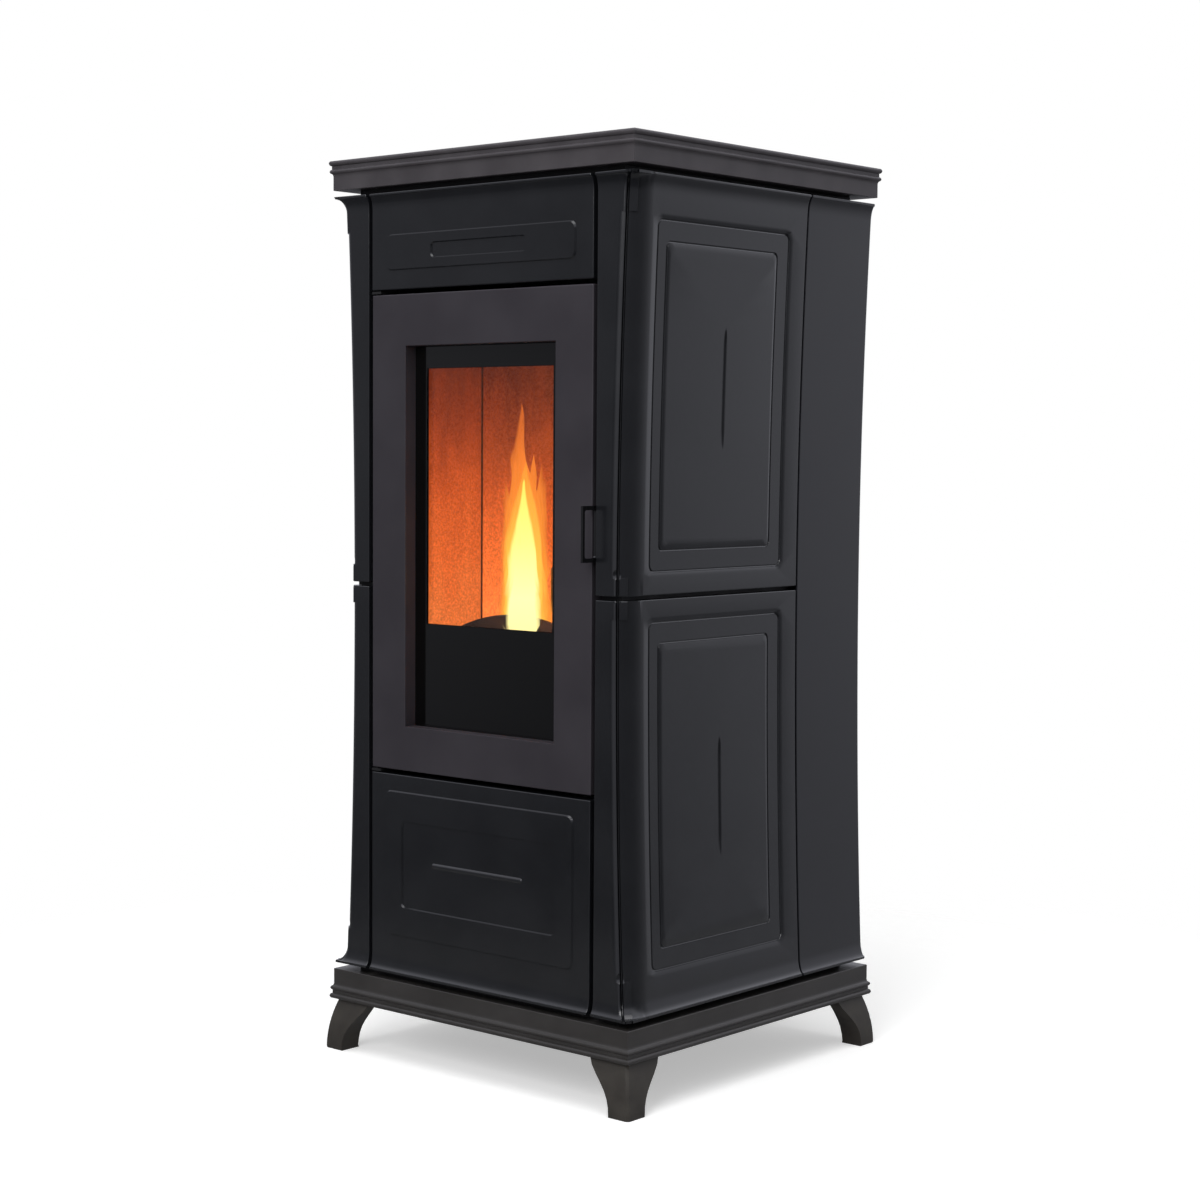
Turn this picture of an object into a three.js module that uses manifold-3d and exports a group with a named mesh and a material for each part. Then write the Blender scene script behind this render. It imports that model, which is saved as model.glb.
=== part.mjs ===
// A free-standing pellet stove with a waisted body of glazed tiles. Millimetres, +Z up, the door at -Y.
import * as THREE from "three";
import { mergeVertices } from "three/addons/utils/BufferGeometryUtils.js";
import Module from "manifold-3d";

const wasm = await Module();
wasm.setup();

// ---- Driving dimensions ----

// Clearances.
const seat = 0.3; // between two pieces that bear on each other
const pinPlay = 0.15; // round a pin that only holds a piece
const swingPlay = 0.3; // round a pin that something turns on

// Body.
const bodyWidth = 512;
const bodyDepth = 500;
const bodyHeight = 1150;
const legHeight = 65.3;
const plinthHeight = 39;
const plateThickness = 37.5;
const bandInset = 4.3; // the flat band of both mouldings, behind their lip
const topGap = 8; // open joint under the top plate
const bottomGap = 8.5; // open joint over the plinth
const edgeRim = 50; // solid rim round the hollow of the plate and the plinth
const plateSkin = 13;
const plinthSkin = 5;

// Waist and tiles.
const waistInset = 22; // the side face at its narrowest, behind the plate's lip
const waistLevel = 600;
const waistFlare = 10.2; // how far the side face comes out again one waistSpan away
const waistSpan = 450;
const frontInset = 10; // the front face, behind the plate's lip
const coveHeight = 19;
const coveTip = 3;
const tileThickness = 18;
const sideTileThickness = 22;
const tileWall = 11; // over the hollow in a side tile's back
const stripWidth = 42;
const tileJoint = 5;
const tileJointLevel = 610;
const sideTileDepth = 341;
const cornerCut = 13; // the tiles' outer front corner is cut back by this much
const cutCrown = 0.8;
const ledgeHeight = 22; // plain ends of the cut, where the corner reed stops at the tile joint
const coveLedge = 24.5; // and next to the coves
const reedWidth = 15; // the hollow that the reed stands in, on the front
const reedDepth = 17; // and on the side
const reedRadius = 5.4;
const reedMiddle = 11.2; // behind both faces
const quirk = 1.5;
const grooveWidth = 5.5;
const grooveDepth = 2.4;
const lineWidth = 8; // the upright line in the middle of the side tiles
const lineTaper = 34;
const slotLine = 3;
const grooveCorner = 12;
const grooveBorder = 51; // from a tile's edge to its outer line
const borderStep = 26; // from the outer line to the inner one
const outerLineFront = 55; // from the front face
const outerLineRear = 25; // from the side tile's end
const innerLineFront = 77;
const innerLineRear = 53;
const lineFromFront = 184;
const frontLineInset = 22; // from the front tiles' sides
const frontInnerInset = 54;
const upperSlotHalf = 80;
const lowerLineHalf = 78;
const upperFrontTile = 121.5;
const lowerFrontTile = 256.5;

// Rear.
const rearInset = 6.5;
const sheet = 3;
const backSheet = 2;
const returnWidth = 38;
const panelSheet = 3.4;

// Door.
const doorGap = 6;
const doorThickness = 23.7;
const doorProud = -0.6; // the door's face stands this far behind the tiles'
const stileWidth = 59.5;
const topRail = 65;
const bottomRail = 56.5;
const doorChamfer = 1.5;
const glassSetback = 18.4;
const glassThickness = 5;
const glassOverlap = 10.5;
const retainerWidth = 18;
const retainerThickness = 2;
const gasketInset = 22; // from the door's edge to the middle of its rope seal
const gasketWidth = 10;
const gasketProud = 4.3;
const gasketGroove = 5;
const hingeInset = 5; // the hinge axis from the door's left edge
const hingeSetback = 5.4; // and from its face
const hingePin = 3;
const pinLength = 24;
const bracketThickness = 3;

// Handle.
const handleLevel = 309.2; // above the door's lower edge
const handleHeight = 66.5;
const handleReach = 21.6; // in front of the door
const handleThickness = 3.2;
const handleBar = 3.5;
const handleArm = 5;
const handlePinRadius = 3;
const handlePinSetback = 9.4; // behind the door's face
const hookDrop = 6; // the hook's top edge, under the handle's pin
const hookHeight = 8;
const rollerRadius = 3;

// Firebox.
const mouthMargin = 9; // from the seal's middle to the mouth
const chamberDepth = 137.1;
const linerThickness = 12;
const linerSetback = 46.6; // the side linings start this far behind the flange
const linerShow = 5;
const fireboxSheet = 3;
const flangeMargin = 2;
const hearthLevel = 133.5; // above the firebox floor
const hearthThickness = 6;
const fenderThickness = 5;
const fenderCrown = 31;
const fenderSpan = 100;
const fenderDrop = 36; // under the shelf's top
const fenderShoulder = 4;
const baffleThickness = 8;
const baffleLip = 6;
const baffleSetback = 62; // behind the flange
const linerTop = 46; // below the firebox roof
const potWidth = 104;
const potDepth = 66;
const potHeight = 58;
const potWall = 4;
const potFlange = 7;
const potTaper = 8;
const drawerWidth = 240;
const drawerHeight = 44;
const drawerSheet = 2;

// Fuel.
const lidSideInset = 107; // from the plate's lip to the lid, with the controls between them
const lidThickness = 4.7;
const lidRearInset = 64;
const lidPlay = 2;
const lugInset = 44.7; // the middle of a hinge lug, from the lid's side
const lidPinInset = 23.8;
const lidBarrel = 2.6;
const lidPin = 1.5;
const ductSpace = 39.7; // behind the firebox, for the warm air
const hopperWall = 2.5;
const hopperFlange = 2.5;
const hopperStraight = 250; // straight part of the hopper, under the plate
const outletWidth = 66;
const outletSpace = 177.5; // from its middle to the back panel
const outletFlange = 12;
const augerTilt = 30;
const augerBore = 27;
const augerWall = 2.5;
const screwRadius = 25.4;
const screwPitch = 42;
const screwShaft = 7;
const flightThickness = 3;
const tubeBelow = 95; // along the axis, from the hopper outlet down to the motor
const feedLevel = 572.2; // where the screw's axis ends, above the plinth
const feedSetback = 19.4; // and behind the firebox
const motorLength = 62;
const chuteWidth = 50;
const chuteSetback = 47; // the chute's back, behind the firebox
const chuteFall = 52;
const gearcaseRadius = 33;
const gearcaseLength = 28;
const augerMotorRadius = 24;

// Smoke path.
const smokeBoxDepth = 142;
const smokeBoxLow = 36; // above the plinth
const smokeBoxHigh = 365;
const fanSetback = 97; // the smoke fan's axis behind the firebox
const fanLevel = 100; // and above the plinth
const scrollWidth = 56;
const scrollStart = 52;
const scrollEnd = 80;
const scrollSheet = 2.5;
const scrollOutlet = 110;
const inletRadius = 30;
const impellerRadius = 44;
const impellerBlades = 8;
const fanShaft = 4;
const fanMotorRadius = 34;
const fanMotorLength = 62;
const spigotRadius = 40;
const spigotReach = 48; // behind the back panel
const spigotWall = 1.8;
const intakeRadius = 25;
const intakeReach = 34;
const intakeSpace = 2; // between the mains inlet's plate and the air pipe
const pipeSpace = 14; // between the air pipe and the smoke box
const uprightSetback = 62; // the pipe's upright behind the firebox
const intakeLevel = 96;

// Room air blower.
const drumRadius = 34;
const drumLength = 224;
const drumBlades = 14;
const bladeChord = 8;
const blowerSetback = 70; // its axis behind the tile face
const blowerStart = 38;
const blowerEnd = 56;
const blowerMotorRadius = 30;
const blowerMotorLength = 52;

// Chassis.
const windowLow = 60; // under the lower window
const windowBar = 90; // between the two
const windowHigh = 97.3; // over the upper one
const windowSide = 60;

// Controls.
const panelWidth = 56;
const panelLength = 110;
const panelInset = 28;
const panelDepth = 10;
const panelSetback = 115; // its front end, in front of the rear lip by panelLength + this
const buttonRadius = 5;
const buttonTravel = 1;
const buttonProud = 0.9;
const buttonHeight = 4.5;
const buttonPlay = 0.35;
const inletInset = 106; // the mains inlet's middle, from the body's side
const inletPlateWidth = 50;
const inletLevel = 70;
const rockerTilt = 10;
const boardSetback = 175; // its front edge, from the chassis's rear
const boardLevel = 440; // above the plinth

const radians = THREE.MathUtils.degToRad;

// ---- Shape helpers ----

function evenly(from, to, steps) {
  return Array.from({ length: steps + 1 }, (_, i) => from + ((to - from) * i) / steps);
}

// A closed geometry as a solid that can be joined and cut.
function solid(geometry) {
  const bare = new THREE.BufferGeometry().setAttribute("position", geometry.getAttribute("position"));
  bare.setIndex(geometry.index);
  const merged = mergeVertices(bare, 1e-4);
  const mesh = new wasm.Mesh({
    numProp: 3,
    vertProperties: merged.attributes.position.array,
    triVerts: new Uint32Array(merged.index.array),
  });
  return new wasm.Manifold(mesh);
}

function join(...solids) {
  return solids.reduce((all, one) => all.add(one));
}

function cut(body, ...tools) {
  return tools.reduce((left, tool) => left.subtract(tool), body);
}

function box(x0, x1, y0, y1, z0, z1) {
  const geometry = new THREE.BoxGeometry(x1 - x0, y1 - y0, z1 - z0);
  return solid(geometry.translate((x0 + x1) / 2, (y0 + y1) / 2, (z0 + z1) / 2));
}

// A round bar between two points.
function rod(radius, from, to, sides = 12, endRadius = radius) {
  const start = new THREE.Vector3(...from);
  const run = new THREE.Vector3(...to).sub(start);
  const geometry = new THREE.CylinderGeometry(endRadius, radius, run.length(), sides);
  geometry.translate(0, run.length() / 2, 0);
  const up = new THREE.Vector3(0, 1, 0);
  geometry.applyQuaternion(new THREE.Quaternion().setFromUnitVectors(up, run.normalize()));
  return solid(geometry.translate(start.x, start.y, start.z));
}

// Turns a body raised along Z so that it is raised along X (drawn in Y, Z) or along Y (drawn in X, Z).
function stand(geometry, axis) {
  const turn = new THREE.Matrix4();
  if (axis === "x") turn.makeBasis(vector(0, 1, 0), vector(0, 0, 1), vector(1, 0, 0));
  if (axis === "y") turn.makeBasis(vector(1, 0, 0), vector(0, 0, 1), vector(0, -1, 0));
  return geometry.applyMatrix4(turn);
}

function vector(x, y, z) {
  return new THREE.Vector3(x, y, z);
}

// A flat shape raised along an axis between two levels.
function extrude(shape, axis, from, to, curveSegments = 4) {
  const settings = { depth: to - from, bevelEnabled: false, curveSegments };
  const geometry = new THREE.ExtrudeGeometry(shape, settings);
  geometry.translate(0, 0, axis === "y" ? -to : from);
  return solid(stand(geometry, axis));
}

function polygon(points) {
  return new THREE.Shape(points.map(([a, b]) => new THREE.Vector2(a, b)));
}

function roundedPath(path, a0, a1, b0, b1, radius) {
  path.moveTo(a0 + radius, b0);
  path.lineTo(a1 - radius, b0);
  path.absarc(a1 - radius, b0 + radius, radius, -Math.PI / 2, 0);
  path.lineTo(a1, b1 - radius);
  path.absarc(a1 - radius, b1 - radius, radius, 0, Math.PI / 2);
  path.lineTo(a0 + radius, b1);
  path.absarc(a0 + radius, b1 - radius, radius, Math.PI / 2, Math.PI);
  path.lineTo(a0, b0 + radius);
  path.absarc(a0 + radius, b0 + radius, radius, Math.PI, 1.5 * Math.PI);
  return path;
}

function rounded(a0, a1, b0, b1, radius) {
  return roundedPath(new THREE.Shape(), a0, a1, b0, b1, radius);
}

// A rounded line of some width whose outer edge is the given rectangle.
function roundedFrame(a0, a1, b0, b1, radius, width) {
  const shape = rounded(a0, a1, b0, b1, radius);
  const inner = [a0 + width, a1 - width, b0 + width, b1 - width];
  shape.holes.push(roundedPath(new THREE.Path(), ...inner, Math.max(radius - width, 0.5)));
  return shape;
}

// A closed body through level outlines, given as [level, points], all with as many points.
function loft(rings, axis = "z") {
  const count = rings[0][1].length;
  const positions = rings.flatMap(([level, points]) => points.flatMap(([a, b]) => [a, b, level]));
  const faces = [];
  for (let k = 0; k + 1 < rings.length; k++) {
    for (let i = 0; i < count; i++) {
      const low = k * count + i;
      const lowNext = k * count + ((i + 1) % count);
      faces.push(low, lowNext, lowNext + count, low, lowNext + count, low + count);
    }
  }
  const last = (rings.length - 1) * count;
  const outline = (ring) => ring[1].map(([a, b]) => new THREE.Vector2(a, b));
  for (const [a, b, c] of THREE.ShapeUtils.triangulateShape(outline(rings[0]), [])) {
    faces.push(c, b, a);
  }
  for (const [a, b, c] of THREE.ShapeUtils.triangulateShape(outline(rings[rings.length - 1]), [])) {
    faces.push(last + a, last + b, last + c);
  }
  const geometry = new THREE.BufferGeometry();
  geometry.setAttribute("position", new THREE.Float32BufferAttribute(positions, 3));
  geometry.setIndex(faces);
  return solid(stand(geometry, axis));
}

function rectangle(a0, a1, b0, b1) {
  return [
    [a0, b0],
    [a1, b0],
    [a1, b1],
    [a0, b1],
  ];
}

// ---- Levels and faces that the pieces share ----

const halfWidth = bodyWidth / 2;
const halfDepth = bodyDepth / 2;
const lidWidth = bodyWidth - 2 * lidSideInset;
const inletOffset = halfWidth - inletInset;
const intakeOffset = inletOffset - inletPlateWidth / 2 - intakeSpace - intakeRadius;
const smokeBoxWidth = 2 * (intakeOffset - intakeRadius - pipeSpace);
const plinthBottom = legHeight + seat;
const plinthTop = plinthBottom + plinthHeight;
const plateBottom = bodyHeight - plateThickness;
const tilesBottom = plinthTop + bottomGap;
const tilesTop = plateBottom - topGap;
const bandX = halfWidth - bandInset;
const bandY = halfDepth - bandInset;
const frontY = -(halfDepth - frontInset);
const waistX = halfWidth - waistInset;
const tileInnerX = waistX - sideTileThickness;
const tileBackY = frontY + tileThickness;
const stripX = waistX - stripWidth;
const sideTileEnd = frontY + sideTileDepth;
const rearY = halfDepth - rearInset;
const backPanelOuter = rearY - panelSheet - seat;
const backPanelInner = backPanelOuter - backSheet;
const chassisX = tileInnerX - seat;
const chassisRear = backPanelInner - seat;

const doorX = stripX - doorGap;
const doorBottom = tilesBottom + lowerFrontTile + doorGap;
const doorTop = tilesTop - upperFrontTile - doorGap;
const doorY = frontY - doorProud;
const doorBackY = doorY + doorThickness;
const openingX = doorX - stileWidth;
const openingBottom = doorBottom + bottomRail;
const openingTop = doorTop - topRail;
const glassY = doorY + glassSetback + seat;
const sealFaceY = doorBackY + gasketProud + seat;
const mouthX = doorX - gasketInset - mouthMargin;
const mouthBottom = doorBottom + gasketInset + mouthMargin;
const mouthTop = doorTop - gasketInset - mouthMargin;
const flangeBackY = sealFaceY + fireboxSheet;
const chassisFrontY = flangeBackY + seat;
const handleZ = doorBottom + handleLevel;
const handleX = doorX + doorGap / 2;
const handlePinY = doorY + handlePinSetback;
const hingeX = -(doorX - hingeInset);
const hingeY = doorY + hingeSetback;

const linerX = mouthX - linerShow;
const fireboxInnerX = linerX + linerThickness + seat;
const chamberBackY = sealFaceY + chamberDepth;
const fireboxInnerY = chamberBackY + linerThickness + seat;
const fireboxBackY = fireboxInnerY + fireboxSheet;
const hearthTop = mouthBottom + hearthLevel + hearthThickness;
const linersTop = mouthTop - linerTop;
const potY = chamberBackY - 49.5;

const lidFront = fireboxBackY + ductSpace;
const lidRear = halfDepth - lidRearInset;
const lidHingeY = lidRear + 5;
const lidHingeZ = bodyHeight - lidBarrel - 0.1;
const plateHoleX = lidWidth / 2 + lidPlay;
const plateHoleFront = lidFront - lidPlay;
const plateHoleRear = lidRear + lidPlay;
const lidUnder = bodyHeight - lidThickness;
const outletY = backPanelInner - outletSpace;
const tubeAbove = (outletY - fireboxBackY - feedSetback) / Math.cos(radians(augerTilt));
const feedZ = plinthTop + feedLevel;
const augerZ = feedZ - tubeAbove * Math.sin(radians(augerTilt));
const grateZ = plateBottom - 14;
const tubeReach = (augerBore + augerWall) / Math.cos(radians(augerTilt));
const outletZ = augerZ + (outletWidth / 2 + outletFlange) * Math.tan(radians(augerTilt)) + tubeReach + seat;

// How far a cove has come out, from 0 in the face to 1 at its tip.
function coveAt(z) {
  const above = (z - (tilesTop - coveTip - coveHeight)) / coveHeight;
  const below = (tilesBottom + coveTip + coveHeight - z) / coveHeight;
  const reach = THREE.MathUtils.clamp(Math.max(above, below), 0, 1);
  return 1 - Math.sqrt(1 - reach * reach);
}

function sideFace(z) {
  const bow = waistX + waistFlare * ((z - waistLevel) / waistSpan) ** 2;
  return bow + (bandX - bow) * coveAt(z);
}

function frontFace(z) {
  return frontY - (bandY + frontY) * coveAt(z);
}

// Levels that draw the tile face between two ends, close together in the coves.
function faceLevels(bottom, top, steps) {
  const angles = evenly(0, Math.PI / 2, 3);
  const levels = [bottom, top];
  const low = bottom < tilesBottom + coveTip;
  const high = top > tilesTop - coveTip;
  if (low) levels.push(...angles.map((a) => tilesBottom + coveTip + coveHeight * (1 - Math.sin(a))));
  if (high) levels.push(...angles.map((a) => tilesTop - coveTip - coveHeight * (1 - Math.sin(a))));
  const from = low ? tilesBottom + coveTip + coveHeight : bottom;
  const to = high ? tilesTop - coveTip - coveHeight : top;
  levels.push(...evenly(from, to, steps).slice(1, -1));
  return [...new Set(levels)].sort((a, b) => a - b);
}

// ---- Mouldings: top plate and plinth ----

// The moulded edge as [inset, distance from the lip end], from the lip to the band.
function mouldingProfile(thickness) {
  const path = new THREE.Path();
  path.moveTo(1.4, 0);
  path.quadraticCurveTo(-1.2, 2.9, 1.4, 5.8);
  path.lineTo(2.9, 6.4);
  path.lineTo(2.9, 10.6);
  path.lineTo(1.9, 11.2);
  path.quadraticCurveTo(-0.2, 13.5, 1.9, 15.8);
  path.quadraticCurveTo(bandInset, 16.4, bandInset, 20.4);
  path.lineTo(bandInset, thickness);
  return path.getPoints(4);
}

function mouldedSlab(lipZ, bandZ) {
  const way = Math.sign(bandZ - lipZ);
  const rings = mouldingProfile(Math.abs(bandZ - lipZ)).map((p) => {
    const x = halfWidth - p.x;
    const y = halfDepth - p.x;
    return [lipZ + way * p.y, rectangle(-x, x, -y, y)];
  });
  return loft(way > 0 ? rings : rings.reverse());
}

function topPlate() {
  const under = bodyHeight - plateSkin;
  const hollowX = halfWidth - edgeRim;
  const hollowY = halfDepth - edgeRim;
  const pocketX = halfWidth - panelInset;
  const pocketY = halfDepth - panelSetback;
  const pocket = box(
    pocketX - panelWidth,
    pocketX,
    pocketY - panelLength,
    pocketY,
    bodyHeight - panelDepth,
    bodyHeight + 1,
  );
  const scoop = rounded(-34, 34, lidUnder - 7, bodyHeight + 7, 6);
  const pinX = lidWidth / 2 - lidPinInset;
  const notches = [-1, 1].map((side) => {
    const x = side * (lidWidth / 2 - lugInset);
    return box(x - 16, x + 16, lidRear - 1, lidHingeY + 3.6, lidHingeZ - 6.4, bodyHeight + 1);
  });
  return cut(
    mouldedSlab(bodyHeight, plateBottom),
    box(-hollowX, hollowX, -hollowY, hollowY, plateBottom - 1, under),
    box(-plateHoleX, plateHoleX, plateHoleFront, plateHoleRear, under - 1, bodyHeight + 1),
    extrude(scoop, "y", plateHoleFront - 14, plateHoleFront + 1),
    pocket,
    rod(lidPin + pinPlay, [-pinX, lidHingeY, lidHingeZ], [pinX, lidHingeY, lidHingeZ], 12),
    ...notches,
  );
}

function plinth() {
  const hollowX = halfWidth - edgeRim;
  const hollowY = halfDepth - edgeRim;
  const hollow = box(-hollowX, hollowX, -hollowY, hollowY, plinthBottom - 1, plinthTop - plinthSkin);
  return cut(mouldedSlab(plinthBottom, plinthTop), hollow);
}

// ---- Legs: corner brackets that taper in an ogee to a small spread foot ----

function leg() {
  const footWidth = 31;
  const armLength = 58;
  const armThickness = 15;
  const footSpread = 4; // past the plinth's lip at the floor
  const kneeInset = 12;
  const levels = [0, 2.5, ...evenly(12, legHeight, 6)];
  const rings = levels.map((z) => {
    const rise = z / legHeight;
    const corner = footSpread - kneeInset * rise ** 2 - (z === 0 ? 0.8 : 0);
    const ogee = (1 - Math.cos(Math.PI * rise ** 1.45)) / 2;
    const arm = THREE.MathUtils.lerp(footWidth, armLength, ogee);
    const web = Math.min(THREE.MathUtils.lerp(footWidth, armThickness, ogee), arm - 0.8);
    const x = halfWidth + corner;
    const y = -(halfDepth + corner);
    const soften = 3;
    return [
      z,
      [
        [x - arm, y],
        [x - soften, y],
        [x, y + soften],
        [x, y + arm],
        [x - web, y + arm],
        [x - web, y + web],
        [x - arm, y + web],
      ],
    ];
  });
  return loft(rings);
}

// ---- Ceramic tiles ----

// A side tile in plan: the front strip, the cut or reeded corner and the side face. The cut fades in the
// coves, and inset shrinks the outer faces.
function sideTileOutline(z, reeded, inset) {
  const x = sideFace(z) - inset;
  const y = frontFace(z) + inset;
  const middle = [x - reedMiddle, y + reedMiddle];
  // The reed grows out of the hollow's front wall.
  const toWall = THREE.MathUtils.clamp((reedWidth - reedMiddle) / reedRadius, 0, 1);
  const from = Math.PI + Math.acos(toWall) + 0.05;
  const bead = evenly(from, radians(438), 4).map((a) => {
    return [middle[0] + reedRadius * Math.cos(a), middle[1] + reedRadius * Math.sin(a)];
  });
  const quirkFront = [x - reedWidth + 0.05, bead[0][1] - 0.4];
  const quirkSide = [middle[0] + reedRadius * 0.4, y + reedDepth - 0.3];
  const fade = Math.max(1 - coveAt(z), 0.08);
  // Along the cut and out of it, from its front end.
  const onCut = (along, out) => [
    x - fade * (cornerCut - (along + out) * Math.SQRT1_2),
    y + fade * (along - out) * Math.SQRT1_2,
  ];
  const face = cornerCut * Math.SQRT2;
  const plain = [
    onCut(0, 0),
    onCut(quirk * 0.8, -quirk),
    onCut(quirk * 1.6, 0),
    onCut(face / 2, cutCrown),
    onCut(face - quirk * 1.6, 0),
    onCut(face - quirk * 0.8, -quirk / 2),
    onCut(face, 0),
  ];
  const corner = reeded ? [quirkFront, ...bead, quirkSide] : plain;
  return [
    [stripX, y],
    [x - reedWidth, y],
    ...corner,
    [x, y + reedDepth],
    [x, sideTileEnd],
    [tileInnerX, sideTileEnd],
    [tileInnerX, tileBackY],
    [stripX, tileBackY],
  ];
}

function sideTileBody(bottom, top, inset = 0) {
  const coved = coveTip + coveHeight + coveLedge;
  const reedFrom = bottom + (bottom === tilesBottom ? coved : ledgeHeight);
  const reedTo = top - (top === tilesTop ? coved : ledgeHeight);
  const square = faceLevels(bottom, top, 4).filter((z) => z <= reedFrom || z >= reedTo);
  const rings = square.map((z) => [z, false]);
  rings.push([reedFrom, false], [reedTo, false]);
  rings.push(...evenly(reedFrom + 0.6, reedTo - 0.6, 4).map((z) => [z, inset === 0]));
  rings.sort((a, b) => a[0] - b[0]);
  const levels = rings.filter((ring, i) => i === 0 || ring[0] - rings[i - 1][0] > 0.1);
  return loft(levels.map(([z, reeded]) => [z, sideTileOutline(z, reeded, inset)]));
}

function sideTile(bottom, top) {
  const lineY = frontY + lineFromFront;
  const rise = grooveBorder - 5;
  const outer = [frontY + outerLineFront, sideTileEnd - outerLineRear, bottom + rise, top - rise];
  const inner = [
    frontY + innerLineFront,
    sideTileEnd - innerLineRear,
    outer[2] + borderStep + 2,
    outer[3] - borderStep - 3,
  ];
  const reach = (top - bottom) * 0.165;
  const centre = (top + bottom) / 2;
  const taperFrom = reach - lineTaper;
  const lines = [
    roundedFrame(...outer, grooveCorner, grooveWidth),
    roundedFrame(...inner, grooveCorner * 0.7, grooveWidth),
    polygon([
      [lineY, centre - reach],
      [lineY + lineWidth / 2, centre - taperFrom],
      [lineY + lineWidth / 2, centre + taperFrom],
      [lineY, centre + reach],
      [lineY - lineWidth / 2, centre + taperFrom],
      [lineY - lineWidth / 2, centre - taperFrom],
    ]),
  ];
  const pattern = lines.map((line) => extrude(line, "x", tileInnerX, halfWidth + 1, 2));
  const hollowX = waistX - tileWall;
  const hollow = box(tileInnerX - 1, hollowX, tileBackY + 22, sideTileEnd - 20, bottom + 30, top - 30);
  const sunk = cut(join(...pattern), sideTileBody(bottom, top, grooveDepth));
  return cut(sideTileBody(bottom, top), hollow, sunk);
}

// A front tile with ribs behind that screw to the chassis, and sunk line work.
function frontTile(bottom, top, lines) {
  const levels = faceLevels(bottom, top, 1);
  const face = levels.map((z) => [frontFace(z), z]);
  const outline = polygon([...face, [tileBackY, top], [tileBackY, bottom]].reverse());
  const ribs = [-1, 1].map((side) => {
    const x = side * (doorX - 8);
    return box(x - 6, x + 6, tileBackY - 1, chassisFrontY - seat, bottom + 6, top - 6);
  });
  const pattern = lines.map((line) => extrude(line, "y", -halfDepth, frontY + grooveDepth, 2));
  return cut(join(extrude(outline, "x", -doorX, doorX), ...ribs), ...pattern);
}

function upperFrontLines() {
  const middle = tilesTop - 75;
  const outer = doorX - frontLineInset;
  return [
    roundedFrame(-outer, outer, middle - 27, middle + 27, grooveCorner * 0.7, grooveWidth),
    roundedFrame(-upperSlotHalf, upperSlotHalf, middle - 6, middle + 6, 4, slotLine),
  ];
}

function lowerFrontLines() {
  const middle = tilesBottom + 140;
  const outer = doorX - frontLineInset;
  const inner = doorX - frontInnerInset;
  const line = [middle - grooveWidth / 2, middle + grooveWidth / 2];
  return [
    roundedFrame(-outer, outer, middle - 96, middle + 96, grooveCorner, grooveWidth),
    roundedFrame(-inner, inner, middle - 55, middle + 55, grooveCorner * 0.7, grooveWidth),
    rounded(-lowerLineHalf, lowerLineHalf, ...line, grooveWidth * 0.45),
  ];
}

// ---- Rear casing and chassis ----

// A folded side panel: its face follows the tiles', and its rear edge turns in behind the back panel.
function rearPanel() {
  const rings = faceLevels(tilesBottom, tilesTop, 6).map((z) => {
    const x = sideFace(z);
    const start = sideTileEnd + 2.5;
    return [
      z,
      [
        [x, start],
        [x, rearY],
        [chassisX + 22 - returnWidth, rearY],
        [chassisX + 22 - returnWidth, rearY - panelSheet],
        [x - panelSheet, rearY - panelSheet],
        [x - panelSheet, start],
      ],
    ];
  });
  return loft(rings);
}

function backPanel() {
  const edge = chassisX + 10;
  const plain = box(-edge, edge, backPanelInner, backPanelOuter, tilesBottom, tilesTop);
  const slots = evenly(tilesTop - 60, tilesTop - 120, 3).map((z) => {
    return extrude(rounded(-110, 110, z - 3, z + 3, 2.5), "y", backPanelInner - 1, backPanelOuter + 1, 1);
  });
  const spigotX = spigotCentreX();
  const spigotZ = spigotCentreZ();
  const through = [backPanelInner - 1, backPanelOuter + 1];
  const flue = rod(spigotRadius + 1, [spigotX, through[0], spigotZ], [spigotX, through[1], spigotZ], 20);
  const intakeZ = plinthTop + intakeLevel;
  const intake = rod(
    intakeRadius + 1,
    [-intakeOffset, through[0], intakeZ],
    [-intakeOffset, through[1], intakeZ],
    16,
  );
  const inletZ = plinthTop + inletLevel;
  const mains = box(
    -inletOffset - 14.5,
    -inletOffset + 14.5,
    ...through,
    inletZ - 24.5,
    inletZ + 24.5,
  );
  return cut(plain, ...slots, flue, intake, mains);
}

// One side frame of folded sheet: web, returns, foot and head. Its head is open to the top joint.
function chassis() {
  const foot = plinthTop + seat;
  const head = plateBottom - seat;
  const returnX = doorX - 16;
  const rear = [chassisRear - sheet, chassisRear];
  const web = box(chassisX - sheet, chassisX, chassisFrontY, chassisRear, foot, head);
  const front = box(returnX, chassisX, chassisFrontY, chassisFrontY + sheet, foot, head);
  const back = box(returnX + 10, chassisX, ...rear, foot, head);
  const sill = box(returnX + 10, chassisX, chassisFrontY, chassisRear, foot, foot + sheet);
  const across = [chassisX - 60, chassisX + 1];
  const airway = box(...across, chassisFrontY + 40, chassisRear - 40, tilesTop - 24, head + 1);
  const tall = (head - foot - windowLow - windowBar - windowHigh) / 2;
  const windows = [foot + windowLow, head - windowHigh - tall].map((z) => {
    const window = rounded(chassisFrontY + windowSide, chassisRear - windowSide, z, z + tall, 24);
    return extrude(window, "x", ...across, 2);
  });
  return cut(join(web, front, back, sill), airway, ...windows);
}

// ---- Door ----

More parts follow.
